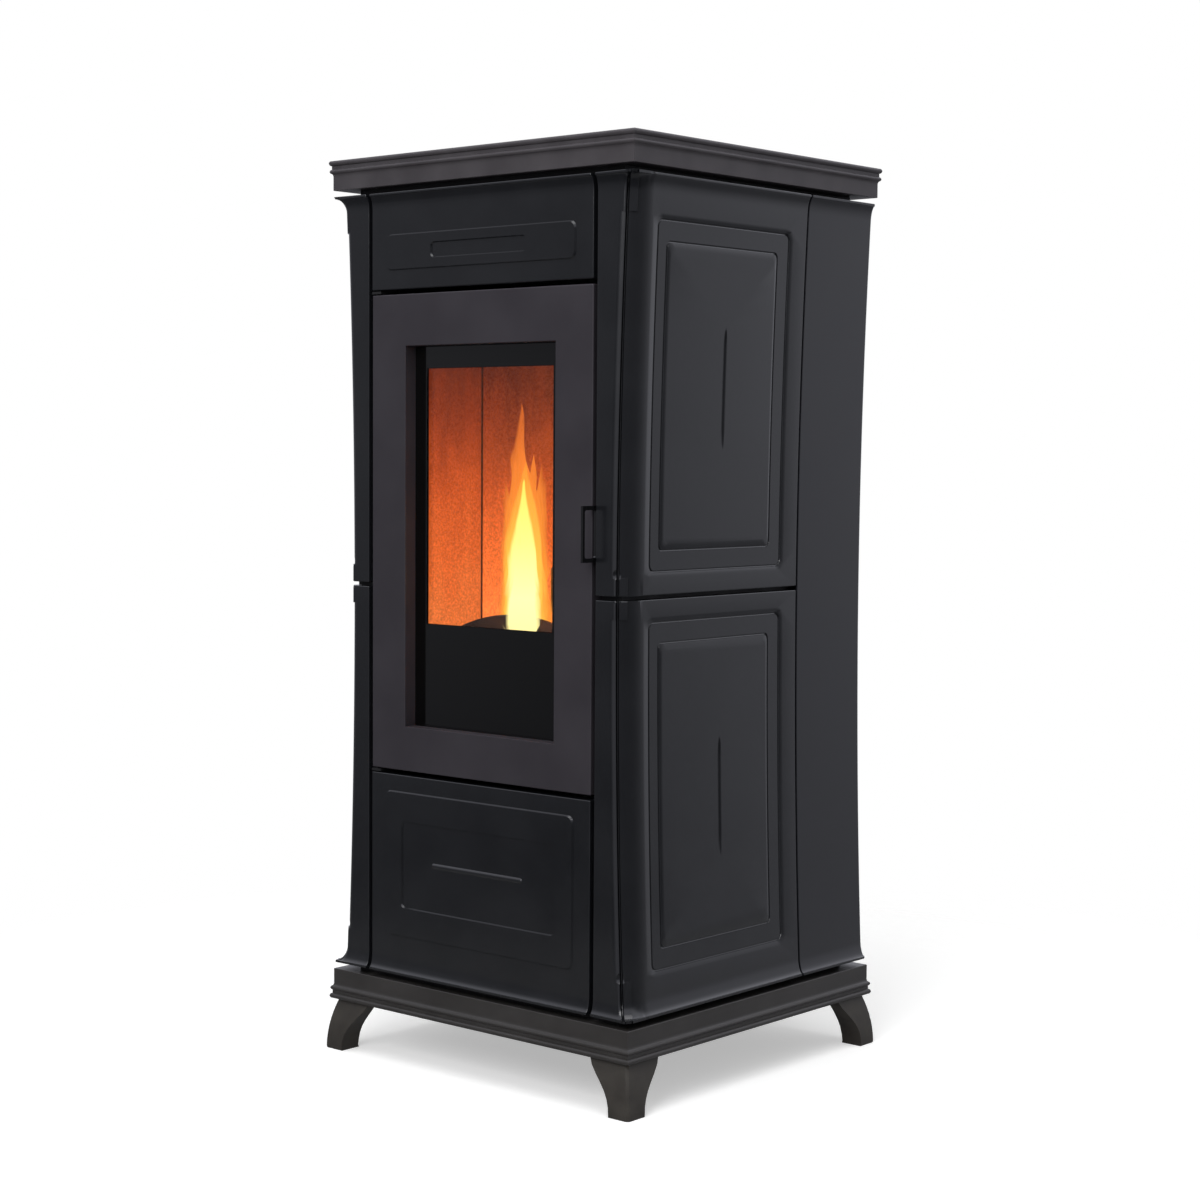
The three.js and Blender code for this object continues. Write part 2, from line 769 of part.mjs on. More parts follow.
// A flat frame with a bevelled front edge and an opening.
function doorFrame() {
  const c = doorChamfer;
  const slab = loft(
    [
      [-doorBackY, rectangle(-doorX, doorX, doorBottom, doorTop)],
      [-doorY - c, rectangle(-doorX, doorX, doorBottom, doorTop)],
      [-doorY, rectangle(-doorX + c, doorX - c, doorBottom + c, doorTop - c)],
    ],
    "y",
  );
  const around = glassOverlap + 1;
  const rebate = [openingX + around, openingBottom - around, openingTop + around];
  const sealX = doorX - gasketInset + gasketWidth / 2 + seat;
  const sealZ = gasketInset - gasketWidth / 2 - seat;
  const groove = roundedFrame(
    -sealX,
    sealX,
    doorBottom + sealZ,
    doorTop - sealZ,
    20,
    gasketWidth + 2 * seat,
  );
  const bores = [
    [hingeX, hingeY, doorTop - pinLength - 2, doorTop + 1],
    [hingeX, hingeY, doorBottom - 1, doorBottom + pinLength + 2],
  ].map(([x, y, from, to]) => rod(hingePin + swingPlay, [x, y, from], [x, y, to]));
  const handleBore = rod(
    handlePinRadius + pinPlay,
    [doorX - 10.5, handlePinY, handleZ],
    [doorX + 1, handlePinY, handleZ],
  );
  return cut(
    slab,
    box(-openingX, openingX, doorY - 1, doorBackY + 1, openingBottom, openingTop),
    box(-rebate[0], rebate[0], glassY - seat, doorBackY + 1, rebate[1], rebate[2]),
    extrude(groove, "y", doorBackY - gasketGroove, doorBackY + 1, 2),
    ...bores,
    handleBore,
  );
}

function doorGlass() {
  const x = openingX + glassOverlap;
  return box(-x, x, glassY, glassY + glassThickness, openingBottom - glassOverlap, openingTop + glassOverlap);
}

function glassRetainer() {
  const x = openingX + glassOverlap + retainerWidth - 7;
  const z0 = openingBottom - glassOverlap - retainerWidth + 7;
  const z1 = openingTop + glassOverlap + retainerWidth - 7;
  const back = Math.max(doorBackY, glassY + glassThickness) + seat;
  return extrude(roundedFrame(-x, x, z0, z1, 4, retainerWidth), "y", back, back + retainerThickness, 2);
}

function doorGasket() {
  const x = doorX - gasketInset + gasketWidth / 2;
  const low = doorBottom + gasketInset - gasketWidth / 2;
  const high = doorTop - gasketInset + gasketWidth / 2;
  const from = doorBackY - gasketGroove + seat;
  const to = sealFaceY - seat;
  return extrude(roundedFrame(-x, x, low, high, 20, gasketWidth), "y", from, to, 3);
}

// A hinge plate in the joint at the door's end, with its pin welded in. The door turns on the pin.
function hinge(bottom, pinEnd) {
  const x = hingeX;
  const plate = box(x - 5, x + 11, hingeY - 6, chassisFrontY - seat, bottom, bottom + bracketThickness);
  const ends = [bottom + 1, pinEnd].sort((a, b) => a - b);
  return join(plate, rod(hingePin, [x, hingeY, ends[0]], [x, hingeY, ends[1]]));
}

// The handle is one flat bar in the joint beside the door: a bail in front and a latch hook behind.
function handle() {
  const half = handleHeight / 2;
  const bar = doorY - handleReach;
  const webFront = doorY + 1.4;
  const webBack = handlePinY + 8;
  const z = handleZ;
  const outline = polygon([
    [bar, z - half],
    [webBack, z - half],
    [webBack, z - hookDrop - hookHeight - 6],
    [webBack + 10, z - hookDrop - hookHeight],
    [webBack + 10, z - hookDrop],
    [webBack, z - hookDrop],
    [webBack, z + half],
    [bar, z + half],
  ]);
  const grip = rounded(bar + handleBar, webFront, z - half + handleArm, z + half - handleArm, 3);
  outline.holes.push(new THREE.Path(grip.getPoints(3)));
  const x = handleX - handleThickness / 2;
  const end = x + handleThickness;
  const bore = rod(handlePinRadius + swingPlay, [x - 1, handlePinY, z], [end + 1, handlePinY, z]);
  return cut(extrude(outline, "x", x, end), bore);
}

function handlePin() {
  const at = (x) => [x, handlePinY, handleZ];
  const face = handleX - handleThickness / 2;
  const end = face + handleThickness;
  return join(
    rod(handlePinRadius, at(doorX - 10), at(end + seat), 12),
    rod(handlePinRadius + 2, at(doorX + seat), at(face - seat), 12),
  );
}

// A cheek on the chassis with the roller that the hook catches from below.
function latchKeeper() {
  const rollerY = handlePinY + 14;
  const rollerZ = handleZ - hookDrop + 0.4 + rollerRadius;
  const cheekX = stripX + 1.3;
  const cheek = box(cheekX, cheekX + sheet, rollerY - 5, chassisFrontY - seat, rollerZ - 12, rollerZ + 12);
  return join(cheek, rod(rollerRadius, [doorX + 0.8, rollerY, rollerZ], [cheekX + 1, rollerY, rollerZ], 12));
}

// ---- Firebox ----

// The fall chute in side view, from under the auger's upper end down to its mouth in the fire.
function chuteOutline(inset, past = 0) {
  const rear = fireboxBackY + chuteSetback;
  const back = rear - inset;
  const mouth = chamberBackY - 2;
  const start = feedZ - 49.5;
  const fall = chuteFall / (rear - mouth);
  const low = (y) => start + inset * 1.3 + fall * (y - rear);
  const high = feedZ - 14.5 - inset;
  const nose = mouth + 26 + inset * 0.8;
  return [
    [back, low(back)],
    [back, high],
    [nose, high],
    [mouth - past, high - 32 - inset * 0.4 - past * 1.2],
    [mouth - past, low(mouth - past)],
  ];
}

function chuteHole() {
  const half = chuteWidth / 2 + seat;
  return extrude(polygon(chuteOutline(-seat).reverse()), "x", -half, half);
}

function firebox() {
  const outerX = fireboxInnerX + fireboxSheet;
  const flangeX = doorX - flangeMargin;
  const low = doorBottom + flangeMargin;
  const high = doorTop - flangeMargin;
  const ledge = hearthTop - hearthThickness - seat;
  const shell = cut(
    join(
      box(-outerX, outerX, sealFaceY, fireboxBackY, mouthBottom - fireboxSheet, mouthTop + fireboxSheet),
      box(-flangeX, flangeX, sealFaceY, flangeBackY, low, high),
    ),
    box(-fireboxInnerX, fireboxInnerX, flangeBackY, fireboxInnerY, mouthBottom, mouthTop),
    box(-mouthX, mouthX, sealFaceY - 1, flangeBackY + 1, mouthBottom, mouthTop),
  );
  const ledges = [-1, 1].map((side) => {
    const x = side * (fireboxInnerX - 6);
    return box(x - 7, x + 7, sealFaceY + 50, fireboxInnerY + 1, ledge - 6, ledge);
  });
  const igniterHole = rod(8 + seat, [0, chamberBackY - 5, potZ()], [0, fireboxBackY + 1, potZ()]);
  const smokeHole = rod(28, [0, fireboxInnerY - 5, smokeHoleZ()], [0, fireboxBackY + 1, smokeHoleZ()], 20);
  const airZ = airInZ();
  const airAt = (y) => [-intakeOffset, y, airZ];
  const airHole = rod(intakeRadius - 3, airAt(fireboxInnerY - 5), airAt(fireboxBackY + 1));
  return cut(join(shell, ...ledges), chuteHole(), igniterHole, smokeHole, airHole);
}

function potZ() {
  return hearthTop - 26;
}

function smokeHoleZ() {
  return mouthBottom + 34;
}

function airInZ() {
  return mouthBottom + 86;
}

function sideLiner() {
  const outer = linerX + linerThickness;
  const front = sealFaceY + linerSetback;
  return box(linerX, outer, front, chamberBackY - seat, hearthTop + seat, linersTop);
}

function backLiner() {
  const x = linerX + linerThickness;
  const plain = box(-x, x, chamberBackY, chamberBackY + linerThickness, hearthTop + seat, linersTop);
  return cut(plain, chuteHole());
}

function flameBaffle() {
  const x = linerX + linerThickness;
  const low = linersTop + seat;
  const front = sealFaceY + baffleSetback;
  const plate = box(-x, x, front, chamberBackY + linerThickness, low, low + baffleThickness);
  const between = linerX - seat;
  const lip = box(-between, between, front, front + baffleThickness, low - baffleLip, low + 1);
  return join(plate, lip);
}

// The hearth casting: a shelf with the pot's hole and a fender with an arched top.
function hearth() {
  const x = linerX + linerThickness;
  const front = sealFaceY + linerSetback - 1;
  const shelf = box(-x, x, front, chamberBackY + linerThickness, hearthTop - hearthThickness, hearthTop);
  const arch = evenly(-1, 1, 12).map((t) => [t * fenderSpan, hearthTop + fenderCrown * (1 - 0.68 * t * t)]);
  const fender = polygon([
    [-linerX + 2, hearthTop - fenderDrop],
    [linerX - 2, hearthTop - fenderDrop],
    [linerX - 2, hearthTop + fenderShoulder],
    ...arch.reverse(),
    [-linerX + 2, hearthTop + fenderShoulder],
  ]);
  const hole = box(
    -potWidth / 2 - 1,
    potWidth / 2 + 1,
    potY - potDepth / 2 - 1,
    potY + potDepth / 2 + 1,
    hearthTop - hearthThickness - 1,
    hearthTop + 1,
  );
  return cut(join(shelf, extrude(fender, "y", front - fenderThickness + 0.5, front + 0.5)), hole);
}

// The burn pot: a tapered cast cup with air slots in its floor and a flange that hangs in the hearth.
function burnPot() {
  const w = potWidth / 2;
  const d = potDepth / 2;
  const rim = hearthTop + seat;
  const top = rim + 5;
  const bottom = top - potHeight;
  const plan = (a, b) => rectangle(-a, a, potY - b, potY + b);
  const outer = loft([
    [bottom, plan(w - potTaper, d - potTaper)],
    [top, plan(w, d)],
  ]);
  const inner = loft([
    [bottom + potWall, plan(w - potTaper - potWall, d - potTaper - potWall)],
    [top + 1, plan(w - potWall, d - potWall)],
  ]);
  const flange = extrude(
    rounded(-w - potFlange, w + potFlange, potY - d - potFlange, potY + d + potFlange, 6),
    "z",
    rim,
    top,
  );
  const slots = evenly(-30, 30, 4).map((x) => {
    return box(x - 1.6, x + 1.6, potY - 16, potY + 16, bottom - 1, bottom + potWall + 1);
  });
  const lighter = rod(9, [0, potY + 10, potZ()], [0, potY + d + 1, potZ()]);
  return cut(join(outer, flange), inner, ...slots, lighter);
}

function igniter() {
  const from = potY + potDepth / 2 + 1;
  const z = potZ();
  return join(
    rod(6, [0, from, z], [0, fireboxBackY + 6, z]),
    rod(8, [0, fireboxInnerY - 3, z], [0, fireboxBackY + 6, z]),
    rod(13, [0, fireboxBackY + seat, z], [0, fireboxBackY + 6, z]),
  );
}

function ashDrawer() {
  const x = drawerWidth / 2;
  const front = sealFaceY + 4;
  const back = chamberBackY - 6;
  const low = mouthBottom + seat;
  const t = drawerSheet;
  const tray = cut(
    box(-x, x, front, back, low, low + drawerHeight),
    box(-x + t, x - t, front + t, back - t, low + t, low + drawerHeight + 1),
  );
  const grip = rounded(-24, 24, low + drawerHeight - 18, low + drawerHeight - 6, 5.5);
  return cut(tray, extrude(grip, "y", front - 1, front + t + 1));
}

// ---- Fuel feed ----

function lid() {
  const x = lidWidth / 2;
  const plate = box(-x, x, lidFront, lidRear, lidUnder, bodyHeight);
  const lugs = [-1, 1].map((side) => {
    const middle = side * (lidWidth / 2 - lugInset);
    const at = (dx) => [middle + dx, lidHingeY, lidHingeZ];
    const web = box(middle - 14, middle + 14, lidRear - 1, lidHingeY, lidHingeZ - 2, lidHingeZ + 2);
    const barrel = rod(lidBarrel, at(-14), at(14), 12);
    const bore = rod(lidPin + pinPlay, at(-15), at(15), 12);
    return cut(join(web, barrel), bore);
  });
  return join(plate, ...lugs);
}

function lidHingePin() {
  const x = lidWidth / 2 - lidPinInset - 0.5;
  return rod(lidPin, [-x, lidHingeY, lidHingeZ], [x, lidHingeY, lidHingeZ], 12);
}

function hopperShell(grow) {
  const x = plateHoleX - 6 + grow;
  const front = plateHoleFront + 6 - grow;
  const back = plateHoleRear - 6 + grow;
  const outlet = outletWidth / 2 + grow;
  const neck = rectangle(-outlet, outlet, outletY - outlet, outletY + outlet);
  const wide = rectangle(-x, x, front, back);
  const open = grow > 0 ? 0 : 1;
  return loft([
    [outletZ + seat - open, neck],
    [outletZ + seat + 12, neck],
    [plateBottom - hopperStraight, wide],
    [lidUnder - seat + open, wide],
  ]);
}

function hopper() {
  const top = lidUnder - seat;
  const rim = box(
    -plateHoleX + seat,
    plateHoleX - seat,
    plateHoleFront + seat,
    plateHoleRear - seat,
    top - hopperFlange,
    top,
  );
  const outlet = outletWidth / 2 + outletFlange;
  const foot = box(-outlet, outlet, outletY - outlet, outletY + outlet, outletZ + seat, outletZ + seat + 3);
  const lugs = [-1, 1].flatMap((side) => {
    const x = side * (plateHoleX - 8);
    return [plateHoleFront + 40, plateHoleRear - 40].map((y) => {
      return box(x - 3, x + 3, y - 10, y + 10, grateZ - 3 - seat, grateZ - seat);
    });
  });
  return join(cut(join(hopperShell(hopperWall), rim, foot), hopperShell(0)), ...lugs);
}

// A safety grate of round bars welded to a frame, laid on lugs in the hopper's mouth.
function hopperGrate() {
  const x = plateHoleX - 6 - seat;
  const front = plateHoleFront + 6 + seat;
  const back = plateHoleRear - 6 - seat;
  const z = grateZ;
  const frame = cut(
    box(-x, x, front, back, z, z + 5),
    box(-x + 5, x - 5, front + 5, back - 5, z - 1, z + 6),
  );
  const bars = evenly(-x, x, 9).slice(1, -1).map((at) => {
    return box(at - 2, at + 2, front + 2, back - 2, z + 0.5, z + 4.5);
  });
  return join(frame, ...bars);
}

// The auger's own frame: its axis is +Z, from the hopper outlet up towards the fire.
const augerPlace = new THREE.Group();
augerPlace.position.set(0, outletY, augerZ);
augerPlace.rotation.x = radians(90 - augerTilt);
augerPlace.updateMatrix();

function placed(body) {
  return body.transform(augerPlace.matrix.elements);
}

function augerTube() {
  const outer = augerBore + augerWall;
  const along = (from, to) => [[0, 0, from], [0, 0, to]];
  const tube = placed(rod(outer, ...along(-tubeBelow, tubeAbove), 16));
  const bore = placed(rod(augerBore, ...along(-tubeBelow + augerWall, tubeAbove - augerWall), 16));
  const shaftHole = placed(rod(screwShaft + swingPlay, ...along(-tubeBelow - 1, -tubeBelow + 6)));
  const neck = outletWidth / 2;
  const collar = box(-neck - 2, neck + 2, outletY - neck - 2, outletY + neck + 2, augerZ, outletZ - 3);
  const flangeHalf = neck + outletFlange;
  const flange = box(
    -flangeHalf,
    flangeHalf,
    outletY - flangeHalf,
    outletY + flangeHalf,
    outletZ - 3,
    outletZ,
  );
  const throat = box(-augerBore + 3, augerBore - 3, outletY - neck, outletY + neck, augerZ, outletZ + 1);
  const wide = box(-neck, neck, outletY - neck, outletY + neck, outletZ - 5, outletZ + 1);
  const half = chuteWidth / 2;
  const chute = extrude(polygon(chuteOutline(0).reverse()), "x", -half, half);
  const inside = polygon(chuteOutline(augerWall, 2).reverse());
  const fall = extrude(inside, "x", -half + augerWall, half - augerWall);
  return cut(join(tube, collar, flange, chute), bore, shaftHole, throat, wide, fall);
}

// A screw flight: a thin ribbon wound round the shaft.
function flight(inner, outer, from, to) {
  const steps = Math.round(((to - from) / screwPitch) * 8);
  const positions = [];
  const faces = [];
  for (let k = 0; k <= steps; k++) {
    const z = from + ((to - from) * k) / steps;
    const a = (2 * Math.PI * (z - from)) / screwPitch;
    for (const [r, dz] of [[inner, 0], [outer, 0], [outer, flightThickness], [inner, flightThickness]]) {
      positions.push(r * Math.cos(a), r * Math.sin(a), z + dz);
    }
    if (k === steps) break;
    for (let i = 0; i < 4; i++) {
      const a0 = 4 * k + i;
      const a1 = 4 * k + ((i + 1) % 4);
      faces.push(a0, a0 + 4, a1, a1, a0 + 4, a1 + 4);
    }
  }
  const last = 4 * steps;
  faces.push(0, 1, 2, 0, 2, 3);
  faces.push(last + 2, last + 1, last, last + 3, last + 2, last);
  const geometry = new THREE.BufferGeometry();
  geometry.setAttribute("position", new THREE.Float32BufferAttribute(positions, 3));
  geometry.setIndex(faces);
  return solid(geometry);
}

function augerScrew() {
  const top = tubeAbove - augerWall - 2;
  const shaft = rod(screwShaft, [0, 0, -tubeBelow - 20], [0, 0, top], 8);
  const from = -tubeBelow + augerWall + 3;
  return join(shaft, flight(screwShaft - 2, screwRadius, from, top - flightThickness - 1));
}

// Gearmotor: gearcase with a bore for the screw's shaft, and the motor can behind it.
function augerMotor() {
  const face = -tubeBelow - seat;
  const gearcase = rod(gearcaseRadius, [0, 0, face - gearcaseLength], [0, 0, face], 14);
  const can = rod(augerMotorRadius, [0, 0, face - motorLength], [0, 0, face - gearcaseLength], 14);
  const bore = rod(screwShaft + swingPlay, [0, 0, face - 22], [0, 0, face + 1]);
  return cut(join(gearcase, can), bore);
}

// ---- Smoke path ----

// A fan scroll in its own plane, opening out counter-clockwise to an outlet along +a under the wheel.
function scroll(startRadius, endRadius, outletReach, inset, open) {
  const spiral = evenly(0, 1, 13).map((t) => {
    const a = radians(THREE.MathUtils.lerp(-55, 270, t));
    const r = THREE.MathUtils.lerp(startRadius, endRadius, t) - inset;
    return [r * Math.cos(a), r * Math.sin(a)];
  });
  const start = radians(-55);
  const tongueA = startRadius * Math.cos(start) - inset * 1.5;
  const tongueB = startRadius * Math.sin(start) - inset;
  const end = outletReach + open;
  return [...spiral, [end, -endRadius + inset], [end, tongueB], [tongueA, tongueB]];
}

function smokeFanX() {
  return smokeBoxWidth / 2 + seat;
}

function fanY() {
  return fireboxBackY + fanSetback;
}

function fanZ() {
  return plinthTop + fanLevel;
}

function outletMiddle() {
  return fanZ() - (scrollEnd + scrollStart * Math.sin(radians(55))) / 2;
}

function spigotCentreX() {
  return smokeFanX() + scrollWidth / 2;
}

function spigotCentreZ() {
  return outletMiddle() + 6;
}

function smokeBox() {
  const x = smokeBoxWidth / 2;
  const front = fireboxBackY + seat;
  const back = front + smokeBoxDepth;
  const low = plinthTop + smokeBoxLow;
  const high = plinthTop + smokeBoxHigh;
  const t = 2.5;
  const hole = rod(28, [0, front - 1, smokeHoleZ()], [0, front + t + 1, smokeHoleZ()], 20);
  const toFan = rod(inletRadius, [x - t - 1, fanY(), fanZ()], [x + 1, fanY(), fanZ()], 20);
  return cut(
    box(-x, x, front, back, low, high),
    box(-x + t, x - t, front + t, back - t, low + t, high - t),
    hole,
    toFan,
  );
}

function shifted(points, da, db) {
  return polygon(points.map(([a, b]) => [a + da, b + db]));
}

function smokeFanHousing() {
  const x0 = smokeFanX();
  const x1 = x0 + scrollWidth;
  const t = scrollSheet;
  const outer = shifted(scroll(scrollStart, scrollEnd, scrollOutlet, 0, 0), fanY(), fanZ());
  const inner = shifted(scroll(scrollStart, scrollEnd, scrollOutlet, t, 1), fanY(), fanZ());
  const at = (x) => [x, fanY(), fanZ()];
  return cut(
    extrude(outer, "x", x0, x1),
    extrude(inner, "x", x0 + t, x1 - t),
    rod(inletRadius, at(x0 - 1), at(x0 + t + 1), 20),
    rod(fanShaft + 1.5, at(x1 - t - 1), at(x1 + 1)),
  );
}

// A blade's section round a line of [radius, angle] points from the hub outwards.
function bladeOutline(line, half) {
  const side = (sign) => line.map(([r, a]) => {
    const turn = a + (sign * half) / r;
    return [r * Math.cos(turn), r * Math.sin(turn)];
  });
  return polygon([...side(-1), ...side(1).reverse()]);
}

// A radial wheel about +Z: backplate, hub, shaft and backward-curved blades.
function radialWheel() {
  const wide = scrollWidth - 2 * scrollSheet - 6;
  const blades = Array.from({ length: impellerBlades }, (_, k) => {
    const turn = (2 * Math.PI * k) / impellerBlades;
    const line = evenly(0, 1, 2).map((t) => {
      const r = THREE.MathUtils.lerp(12, impellerRadius - 1, t);
      const a = turn - 0.75 * t * t;
      return [r, a];
    });
    return extrude(bladeOutline(line, 0.7), "z", 1, wide);
  });
  const plate = rod(impellerRadius, [0, 0, 0], [0, 0, 2], 24);
  const hub = rod(13, [0, 0, 1], [0, 0, wide - 6], 14);
  const shaft = rod(fanShaft, [0, 0, -26], [0, 0, 1], 12);
  return join(plate, hub, shaft, ...blades);
}

function smokeFanMotor() {
  const x = smokeFanX() + scrollWidth + seat;
  const at = (dx) => [x + dx, fanY(), fanZ()];
  return cut(
    join(
      rod(fanMotorRadius, at(0), at(3), 14),
      rod(fanMotorRadius - 8, at(3), at(9), 14),
      rod(fanMotorRadius, at(9), at(fanMotorLength), 14),
    ),
    rod(fanShaft + swingPlay, at(-1), at(22)),
  );
}

// The flue collector behind the fan, with the spigot that passes the back panel.
function flueSpigot() {
  const x = spigotCentreX();
  const z = spigotCentreZ();
  const front = fanY() + scrollOutlet + seat;
  const back = backPanelInner - 4;
  const half = spigotRadius + 4;
  const t = 2.5;
  const at = (y) => [x, y, z];
  const outletLow = fanZ() - scrollEnd + scrollSheet;
  const outletHigh = fanZ() - scrollStart * Math.sin(radians(55)) - scrollSheet;
  const clear = scrollWidth / 2 - scrollSheet;
  return cut(
    join(
      box(x - half, x + half, front, back, z - half, z + half),
      rod(spigotRadius, at(back - 1), at(backPanelOuter + spigotReach), 24),
    ),
    box(x - half + t, x + half - t, front + t, back - t, z - half + t, z + half - t),
    box(x - clear, x + clear, front - 1, front + t + 1, outletLow, outletHigh),
    rod(spigotRadius - spigotWall, at(back - t - 1), at(backPanelOuter + spigotReach + 1), 24),
  );
}

// A round tube in the plane x = const, through [y, z, heading] stations.
function pipe(x, stations, radius, sides = 10) {
  const positions = [];
  const faces = [];
  for (const [y, z, heading] of stations) {
    const [ny, nz] = [-Math.sin(heading), Math.cos(heading)];
    for (let i = 0; i < sides; i++) {
      const a = (2 * Math.PI * i) / sides;
      positions.push(x + radius * Math.cos(a), y + radius * ny * Math.sin(a), z + radius * nz * Math.sin(a));
    }
  }
  for (let k = 0; k + 1 < stations.length; k++) {
    for (let i = 0; i < sides; i++) {
      const a = k * sides + i;
      const b = k * sides + ((i + 1) % sides);
      faces.push(a, a + sides, b + sides, a, b + sides, b);
    }
  }
  const last = (stations.length - 1) * sides;
  for (let i = 1; i + 1 < sides; i++) {
    faces.push(0, i, i + 1, last, last + i + 1, last + i);
  }
  const geometry = new THREE.BufferGeometry();
  geometry.setAttribute("position", new THREE.Float32BufferAttribute(positions, 3));
  geometry.setIndex(faces);
  return solid(geometry);
}

// Combustion air: from the back panel forward, up behind the firebox and in under the hearth.
function airIntake() {
  const bend = 48;
  const upright = fireboxBackY + uprightSetback;
  const lowZ = plinthTop + intakeLevel;
  const highZ = airInZ();
  const quarter = evenly(0, Math.PI / 2, 3);
  const path = (past) => [
    [backPanelOuter + intakeReach + past, lowZ, Math.PI],
    ...quarter.map((a) => [upright + bend * (1 - Math.sin(a)), lowZ + bend * (1 - Math.cos(a)), Math.PI - a]),
    ...quarter.map((a) => {
      const turn = [upright - bend * (1 - Math.cos(a)), highZ - bend * (1 - Math.sin(a))];
      return [...turn, Math.PI / 2 + a];
    }),
    [fireboxBackY + seat - past, highZ, Math.PI],
  ];
  return cut(pipe(-intakeOffset, path(0), intakeRadius), pipe(-intakeOffset, path(1), intakeRadius - 1.5));
}

// ---- Room air blower: a crossflow drum in a long scroll that blows upwards ----

function blowerY() {
  return frontY + blowerSetback + 20;
}

function blowerZ() {
  return plinthTop + seat + blowerEnd + 4;
}

function blowerHousing() {
  const turned = (inset, open) => {
    const points = scroll(blowerStart, blowerEnd, 64, inset, open).map(([a, b]) => [-b, a]);
    return shifted(points, blowerY(), blowerZ());
  };
  const half = drumLength / 2 + 7;
  const t = 2;
  const at = (x) => [x, blowerY(), blowerZ()];
  const feet = [-1, 1].map((side) => {
    const x = side * (half - 12);
    return box(x - 8, x + 8, blowerY() - 40, blowerY() + 40, plinthTop + seat, blowerZ() - blowerEnd * 0.62);
  });
  const inner = extrude(turned(t, 1), "x", -half + t, half - t);
  const shell = cut(extrude(turned(0, 0), "x", -half, half), inner);
  const intake = box(-half + 14, half - 14, blowerY() - 90, blowerY() - 30, blowerZ() - 34, blowerZ() + 8);
  return cut(
    join(shell, ...feet),
    inner,
    intake,
    rod(fanShaft + swingPlay, at(-half - 1), at(-half + t + 1), 12),
    rod(fanShaft + swingPlay, at(half - t - 1), at(half + 1), 12),
  );
}

// The crossflow drum about +Z, from end to end, with stub shafts.
function drum() {
  const half = drumLength / 2;
  const blades = Array.from({ length: drumBlades }, (_, k) => {
    const turn = (2 * Math.PI * k) / drumBlades;
    const line = evenly(0, 1, 1).map((t) => [drumRadius - 0.6 - bladeChord * t, turn + 0.2 * t]);
    return extrude(bladeOutline(line.reverse(), 0.6), "z", -half + 1, half - 1);
  });
  const discs = [-half, half - 2].map((z) => rod(drumRadius, [0, 0, z], [0, 0, z + 2], 16));
  const stubs = [-1, 1].map((side) => {
    const reach = side > 0 ? half + 26 : half + 7 + 1;
    const ends = [half - 1, reach].map((z) => [0, 0, side * z]);
    return side > 0 ? rod(fanShaft, ...ends, 12) : rod(fanShaft, ends[1], ends[0], 12);
  });
  return join(...discs, ...blades, ...stubs);
}

function blowerMotor() {
  const x = drumLength / 2 + 7 + seat;
  const at = (dx) => [x + dx, blowerY(), blowerZ()];
  return cut(
    join(
      rod(blowerMotorRadius, at(0), at(blowerMotorLength), 20),
      rod(12, at(blowerMotorLength - 1), at(blowerMotorLength + 5), 12),
    ),
    rod(fanShaft + swingPlay, at(-1), at(21), 12),
  );
}

// ---- Controls ----

function panelCentre() {
  const x = halfWidth - panelInset - panelWidth / 2;
  const y = halfDepth - panelSetback - panelLength / 2;
  return [x, y];
}

function buttonPlaces() {
  const [x, y] = panelCentre();
  return evenly(-38, 4, 3).map((dy) => [x, y + dy]);
}

function controlPanel() {
  const [x, y] = panelCentre();
  const w = panelWidth / 2 - seat;
  const l = panelLength / 2 - seat;
  const low = bodyHeight - panelDepth + seat;
  const body = extrude(rounded(x - w, x + w, y - l, y + l, 1), "z", low, bodyHeight);
  const window = box(x - 20, x + 20, y + 16, y + 46, bodyHeight - 1.2, bodyHeight + 1);
  const wells = buttonPlaces().map(([bx, by]) => {
    const floor = bodyHeight + buttonProud - buttonHeight - buttonTravel - seat;
    return rod(buttonRadius + buttonPlay, [bx, by, floor], [bx, by, bodyHeight + 1], 12);
  });
  return cut(body, window, ...wells);
}

function button([x, y]) {
  const top = bodyHeight + buttonProud;
  return join(
    rod(buttonRadius, [x, y, top - buttonHeight], [x, y, top - 0.6], 12),
    rod(buttonRadius, [x, y, top - 0.6], [x, y, top], 12, buttonRadius - 0.8),
  );
}

function controlBoard() {
  const x = -(chassisX - sheet - seat);
  const y0 = chassisRear - boardSetback;
  const z0 = plinthTop + boardLevel;
  const board = box(x + 7, x + 9, y0, y0 + 120, z0, z0 + 80);
  const studs = [[6, 6], [114, 6], [6, 74], [114, 74]].map(([dy, dz]) => {
    return rod(3, [x, y0 + dy, z0 + dz], [x + 8, y0 + dy, z0 + dz], 6);
  });
  const parts = [
    [10, 42, 14, 50, 26],
    [52, 66, 12, 32, 14],
    [72, 86, 12, 32, 14],
    [52, 86, 44, 52, 8],
    [94, 112, 16, 62, 18],
  ].map(([ya, yb, za, zb, tall]) => box(x + 8, x + 8 + tall, y0 + ya, y0 + yb, z0 + za, z0 + zb));
  return join(board, ...studs, ...parts);
}

